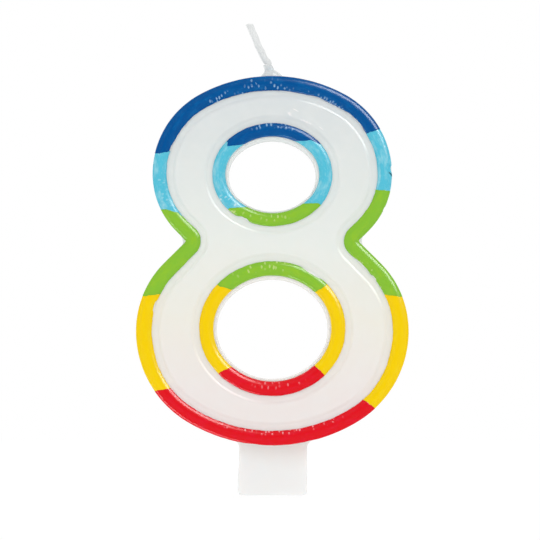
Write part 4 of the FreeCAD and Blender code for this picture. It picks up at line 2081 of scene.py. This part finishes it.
@dataclass
class Wick:
    """The free end of the wick: three cotton plies under wax, leaning to the left.

    Each waver of its line has a size, a rate and an offset.
    """

    finish: CottonFinish
    radius: float = 0.64
    plies: float = 3.0
    turns: float = 0.3
    groove: float = 0.07
    lump_height: float = 0.06
    buried: float = 1.9
    root_swell: float = 0.36
    root_shift: float = 0.23
    wavers: tuple[tuple[float, float, float], ...] = ((0.05, 1.1, 0.6), (0.03, 2.7, 0.0))
    tip_swell: float = 0.1
    tip_share: float = 0.55
    stops: int = 60
    bend_below: float = 0.15
    bend_above: float = 1.5

    def __post_init__(self) -> None:
        """Takes the wick's line from the frame's joint and node."""
        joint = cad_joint("wick_bend")
        self.pivot = Vector(joint["pos_m"]) / MM
        low, high = (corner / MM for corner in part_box("wick_free"))
        reach = Vector((low.x + self.radius * 0.9 - self.pivot.x, 0, high.z - self.pivot.z))
        self.lean = math.atan2(-reach.x, reach.z)
        self.along = Vector((-math.sin(self.lean), 0, math.cos(self.lean)))
        self.tip_z = high.z
        self.length = (high.z - self.pivot.z) / math.cos(self.lean) + self.radius * 0.2

    def path(self) -> Object:
        """The wick's line, with the thickness of the cord along it.

        Returns:
            A curve object, linked to the scene.
        """
        stops = np.linspace(-self.buried, self.length, self.stops)
        curve = bpy.data.curves.new("wick", "CURVE")
        curve.dimensions = "3D"
        line = curve.splines.new("POLY")
        line.points.add(len(stops) - 1)
        aside = Vector((self.along.z, 0, -self.along.x))
        for point, stop in zip(line.points, stops):
            gone = float(stop)
            waver = sum(size * math.sin(gone * rate + off) for size, rate, off in self.wavers)
            waver += self.root_shift * hump(gone, 0.3, 0.42)
            place = (self.pivot + self.along * gone + aside * waver) * MM
            point.co = (*place, 1.0)
            point.radius = self.thickness(gone)
        return new_object("wick", curve)

    def thickness(self, gone: float) -> float:
        """The cord's thickness at one place. It swells at its root and near its tip.

        Args:
            gone: The distance from the bend.

        Returns:
            The thickness, as a share of its radius.
        """
        left = self.length - gone
        root = self.root_swell * hump(gone, 0.35, 0.5)
        tip = self.tip_swell * (hump(left, 0.4, 0.35) - hump(left, 0.85, 0.12))
        round_off = math.sqrt(max(0.0, 1 - max(0.0, 1 - left / 0.3) ** 2))
        return (1 + root + tip) * (self.tip_share + (1 - self.tip_share) * round_off)

    def snip(self, piece: Object) -> None:
        """Cuts the tip off level, with its rim a little rounded.

        Args:
            piece: The wick's mesh object.
        """
        rim, softness = 0.12, 0.2
        for vertex in piece.data.vertices:
            over = vertex.co.z / MM - (self.tip_z - rim)
            if over > 0:
                vertex.co.z = (self.tip_z - rim + rim * math.tanh(over / softness)) * MM

    def build(self) -> Object:
        """Builds the wick as one cord.

        Returns:
            The piece, with its placing baked into its mesh.
        """
        settings = {
            "Radius": self.radius,
            "Plies": self.plies,
            "Turns": self.turns,
            "Groove": self.groove,
            "Lump Height": self.lump_height,
            "Seed": 2.0,
            "Steps": 150,
            "Sides": 48,
            "Material": self.finish.material(),
        }
        piece = CordTree().run_on(self.path(), settings)
        self.snip(piece)
        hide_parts("wick_free")
        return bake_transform(piece)


@dataclass
class Collar:
    """The wax that climbed the wick's foot and ran out over the top of the digit.

    The section is a few stops from its mouth down: how far each is over the digit's
    top, and how far left and right it reaches.
    """

    shape: DigitShape
    wick: Wick
    section: tuple[tuple[float, float, float], ...] = (
        (2.28, -1.63, -0.2),
        (2.2, -1.66, 0.02),
        (1.95, -1.5, 0.12),
        (1.5, -1.36, 0.34),
        (1.05, -1.46, 0.94),
        (0.7, -1.74, 1.5),
        (0.36, -2.05, 1.78),
        (-0.3, -2.2, 1.9),
    )
    rings: int = 40
    sides: int = 72
    lumpiness: float = 0.1
    lump_scale: float = 1.4
    smooth_rings: int = 8

    def build(self, wax: Material, slot: str) -> Object:
        """Builds the collar.

        Args:
            wax: The digit's material.
            slot: The record's slot of that material. It is not used.

        Returns:
            The piece, riding on the candle's body.
        """
        over, left, right = np.array(self.section).T
        walk = np.linspace(0, 1, self.rings)
        stops = np.linspace(0, 1, len(over))
        over, left, right = (np.interp(walk, stops, column) for column in (over, left, right))
        kernel = np.array([1, 2, 1]) / 4
        for column in (over, left, right):
            column[1:-1] = np.convolve(column, kernel, "valid")
        points, faces = [(left[0] / 2 + right[0] / 2, 0.0, self.shape.top_z + over[0])], []
        for ring in range(self.rings):
            middle, half = (left[ring] + right[ring]) / 2, (right[ring] - left[ring]) / 2
            for side in range(self.sides):
                turn = math.tau * side / self.sides
                where = Vector((math.cos(turn), math.sin(turn), over[ring])) * self.lump_scale
                lump = self.lumpiness * noise.noise(where) * min(1.0, ring / self.smooth_rings)
                size = half * (1 + lump * abs(math.sin(turn)))
                x = middle + size * math.cos(turn)
                points.append((x, size * math.sin(turn), self.shape.top_z + over[ring]))
            if ring:
                first = 1 + (ring - 1) * self.sides
                faces += quad_strip(first, first + self.sides, self.sides)
        faces += [(0, 1 + k, 1 + (k + 1) % self.sides) for k in range(self.sides)]
        last = 1 + (self.rings - 1) * self.sides
        faces.append(tuple(range(last, last + self.sides)))
        piece = mesh_piece("wick_collar_wax", np.array(points), faces)
        piece.data.materials.append(wax)
        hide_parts("wick_collar")
        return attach(piece, CANDLE_BODY)


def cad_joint(name: str) -> dict:
    """The frame's record of a joint."""
    return next(j for j in FRAME["joints"] if j["name"] == name)


# ---- studio -------------------------------------------------------------------


@dataclass(frozen=True)
class Softbox:
    """A light for the gloss alone, placed by angles about the line of sight.

    It is seen from the candle at so many degrees off that line, and so many degrees
    round it, anticlockwise from the right. Its long side runs round the line.
    """

    name: str
    around: float
    off_axis: float
    span: float
    depth: float
    brightness: float
    distance: float = 0.6

    def build(self, target: Vector) -> None:
        """Adds the light.

        Args:
            target: The point that it looks at, in metres.
        """
        turn, off = math.radians(self.around), math.radians(self.off_axis)
        round_line = Vector((-math.sin(turn), 0.0, math.cos(turn)))
        outward = Vector((math.cos(turn), 0.0, math.sin(turn)))
        away = outward * math.sin(off) + Vector((0, -1, 0)) * math.cos(off)
        up = away.cross(round_line)
        light = bpy.data.lights.new(self.name, "AREA")
        light.shape = "RECTANGLE"
        light.size = 2 * self.distance * math.sin(off) * math.sin(math.radians(self.span / 2))
        light.size_y = 2 * self.distance * math.tan(math.radians(self.depth / 2))
        light.energy = self.brightness * math.pi * light.size * light.size_y
        lamp = new_object(self.name, light)
        turned = Matrix((round_line, up, away)).transposed().to_4x4()
        lamp.matrix_world = Matrix.Translation(target + away * self.distance) @ turned
        lamp.visible_diffuse = False
        lamp.visible_transmission = False
        lamp.visible_camera = False


@dataclass
class Studio:
    """A white tabletop set: pale floor, white backdrop, dim room, softboxes, long lens.

    The surround is dimmer in a belt beside the candle and at both ends of the line of
    sight. The pairs say where each of them gives way, as shares of that line.
    """

    target: Vector
    frame_height: float = 0.09844
    distance: float = 0.9
    elevation: float = -1.8
    sensor: float = 36.0
    surround: float = 1.33
    belt: float = 0.56
    room: float = 0.03
    backdrop: float = 0.85
    end_dimming: float = 0.96
    backdrop_edge: tuple[float, float] = (0.5, 0.85)
    belt_edge: tuple[float, float] = (0.3, 0.55)
    end_edge: tuple[float, float] = (0.82, 0.94)
    floor_half: float = 3000.0
    floor_drop: float = 0.02
    floor_glow: float = 1.03
    glow_share: float = 0.88
    softboxes: tuple[Softbox, ...] = (
        Softbox("key_softbox", 50, 60, 54, 32, 14.0),
        Softbox("low_softbox", 235, 84, 54, 22, 14.0),
    )

    def camera(self) -> None:
        """Adds the camera, almost level, on a long lens."""
        camera = bpy.data.cameras.new("camera")
        camera.sensor_width = self.sensor
        camera.lens = self.sensor * self.distance / self.frame_height
        camera.clip_start = 0.01
        camera.clip_end = 20.0
        rise = math.radians(self.elevation)
        stand = new_object("camera", camera)
        back = Vector((0, -math.cos(rise), math.sin(rise)))
        stand.location = self.target + back * self.distance
        stand.rotation_euler = (math.pi / 2 + math.radians(-self.elevation), 0, 0)
        bpy.context.scene.camera = stand

    def world(self) -> None:
        """Makes the white surround.

        What is polished mirrors a dim room instead, in which only the backdrop behind
        the candle is bright.
        """
        world = bpy.data.worlds.new("surround")
        world.use_nodes = True
        nodes = NodeBuilder(world.node_tree)
        rays = nodes.add("ShaderNodeLightPath")
        seen = nodes.value(rays.outputs["Is Camera Ray"])
        mirrored = nodes.value(rays.outputs["Is Glossy Ray"])
        looking = nodes.add("ShaderNodeTexCoord").outputs["Generated"]
        parts = nodes.add("ShaderNodeSeparateXYZ", None, {"Vector": looking})
        depth = nodes.value(parts.outputs["Y"])
        behind = depth.between(*self.backdrop_edge)
        polished = self.room + behind * (self.backdrop - self.room)
        square_on = nodes.calculate("ABSOLUTE", depth)
        ring = self.belt + square_on.between(*self.belt_edge) * (1.0 - self.belt)
        ends = 1.0 - square_on.between(*self.end_edge) * self.end_dimming
        walls = ring * self.surround * ends
        lit = walls + (polished - walls) * mirrored
        strength = lit + (1.0 - lit) * seen
        sky = nodes.add(
            "ShaderNodeBackground", None, {"Color": (1.0, 1.0, 1.0, 1.0), "Strength": strength}
        )
        nodes.add("ShaderNodeOutputWorld", None, {"Surface": sky})
        world.cycles.sampling_method = "NONE"
        bpy.context.scene.world = world

    def floor(self) -> None:
        """Adds the pale floor that the stem stands on."""
        half = self.floor_half
        corners = [(-half, -half, 0), (half, -half, 0), (half, half, 0), (-half, half, 0)]
        level = np.array((0, 0, self.floor_drop))
        plane = mesh_piece("floor", np.array(corners) - level, [(0, 1, 2, 3)])
        material, nodes = new_material("floor_paper")
        matte = nodes.add(
            "ShaderNodeBsdfPrincipled",
            None,
            {"Base Color": (0.9, 0.9, 0.9, 1), "Roughness": 0.9, "Specular IOR Level": 0.0},
        )
        white = {"Color": (1.0, 1.0, 1.0, 1.0), "Strength": self.floor_glow}
        glow = nodes.add("ShaderNodeEmission", None, white)
        mixed = nodes.add("ShaderNodeMixShader", None, {0: self.glow_share, 1: matte, 2: glow})
        nodes.add("ShaderNodeOutputMaterial", None, {"Surface": mixed})
        plane.data.materials.append(material)
        plane.visible_glossy = False

    def build(self) -> None:
        """Sets up the whole studio."""
        self.camera()
        self.world()
        self.floor()
        for softbox in self.softboxes:
            softbox.build(self.target)
        bpy.context.scene.view_settings.view_transform = "Standard"


# ---- assembly -----------------------------------------------------------------


def report(piece: Object) -> None:
    """Logs a piece's name and size."""
    size, faces = piece.dimensions / MM, len(piece.data.polygons)
    log.info("%s: %d faces, %.1f x %.1f x %.1f mm", piece.name, faces, *size)


def dress_buried_wick(cotton: Material) -> None:
    """Gives the wick inside the wax the look of cotton too.

    Args:
        cotton: The material of the free wick.
    """
    node = FRAME["nodes"]["wick_buried"]
    node.data.materials.clear()
    node.data.materials.append(cotton)


def main() -> None:
    """Builds the candle and its studio round the CAD frame."""
    logging.basicConfig(level=logging.INFO, format="%(name)s: %(message)s")
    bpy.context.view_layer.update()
    shape = DigitShape()
    Studio(VIEW_CENTRE).build()
    wax = WaxFinish()
    digit = WaxDigit(shape, wax).build()
    report(digit)
    Lacquering(shape).build()
    wick = Wick(CottonFinish())
    cord = wick.build()
    report(cord)
    report(Collar(shape, wick).build(digit.data.materials[0], wax.slot))
    dress_buried_wick(cord.data.materials[0])


if __name__ == "__main__":
    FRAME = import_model()
    main()
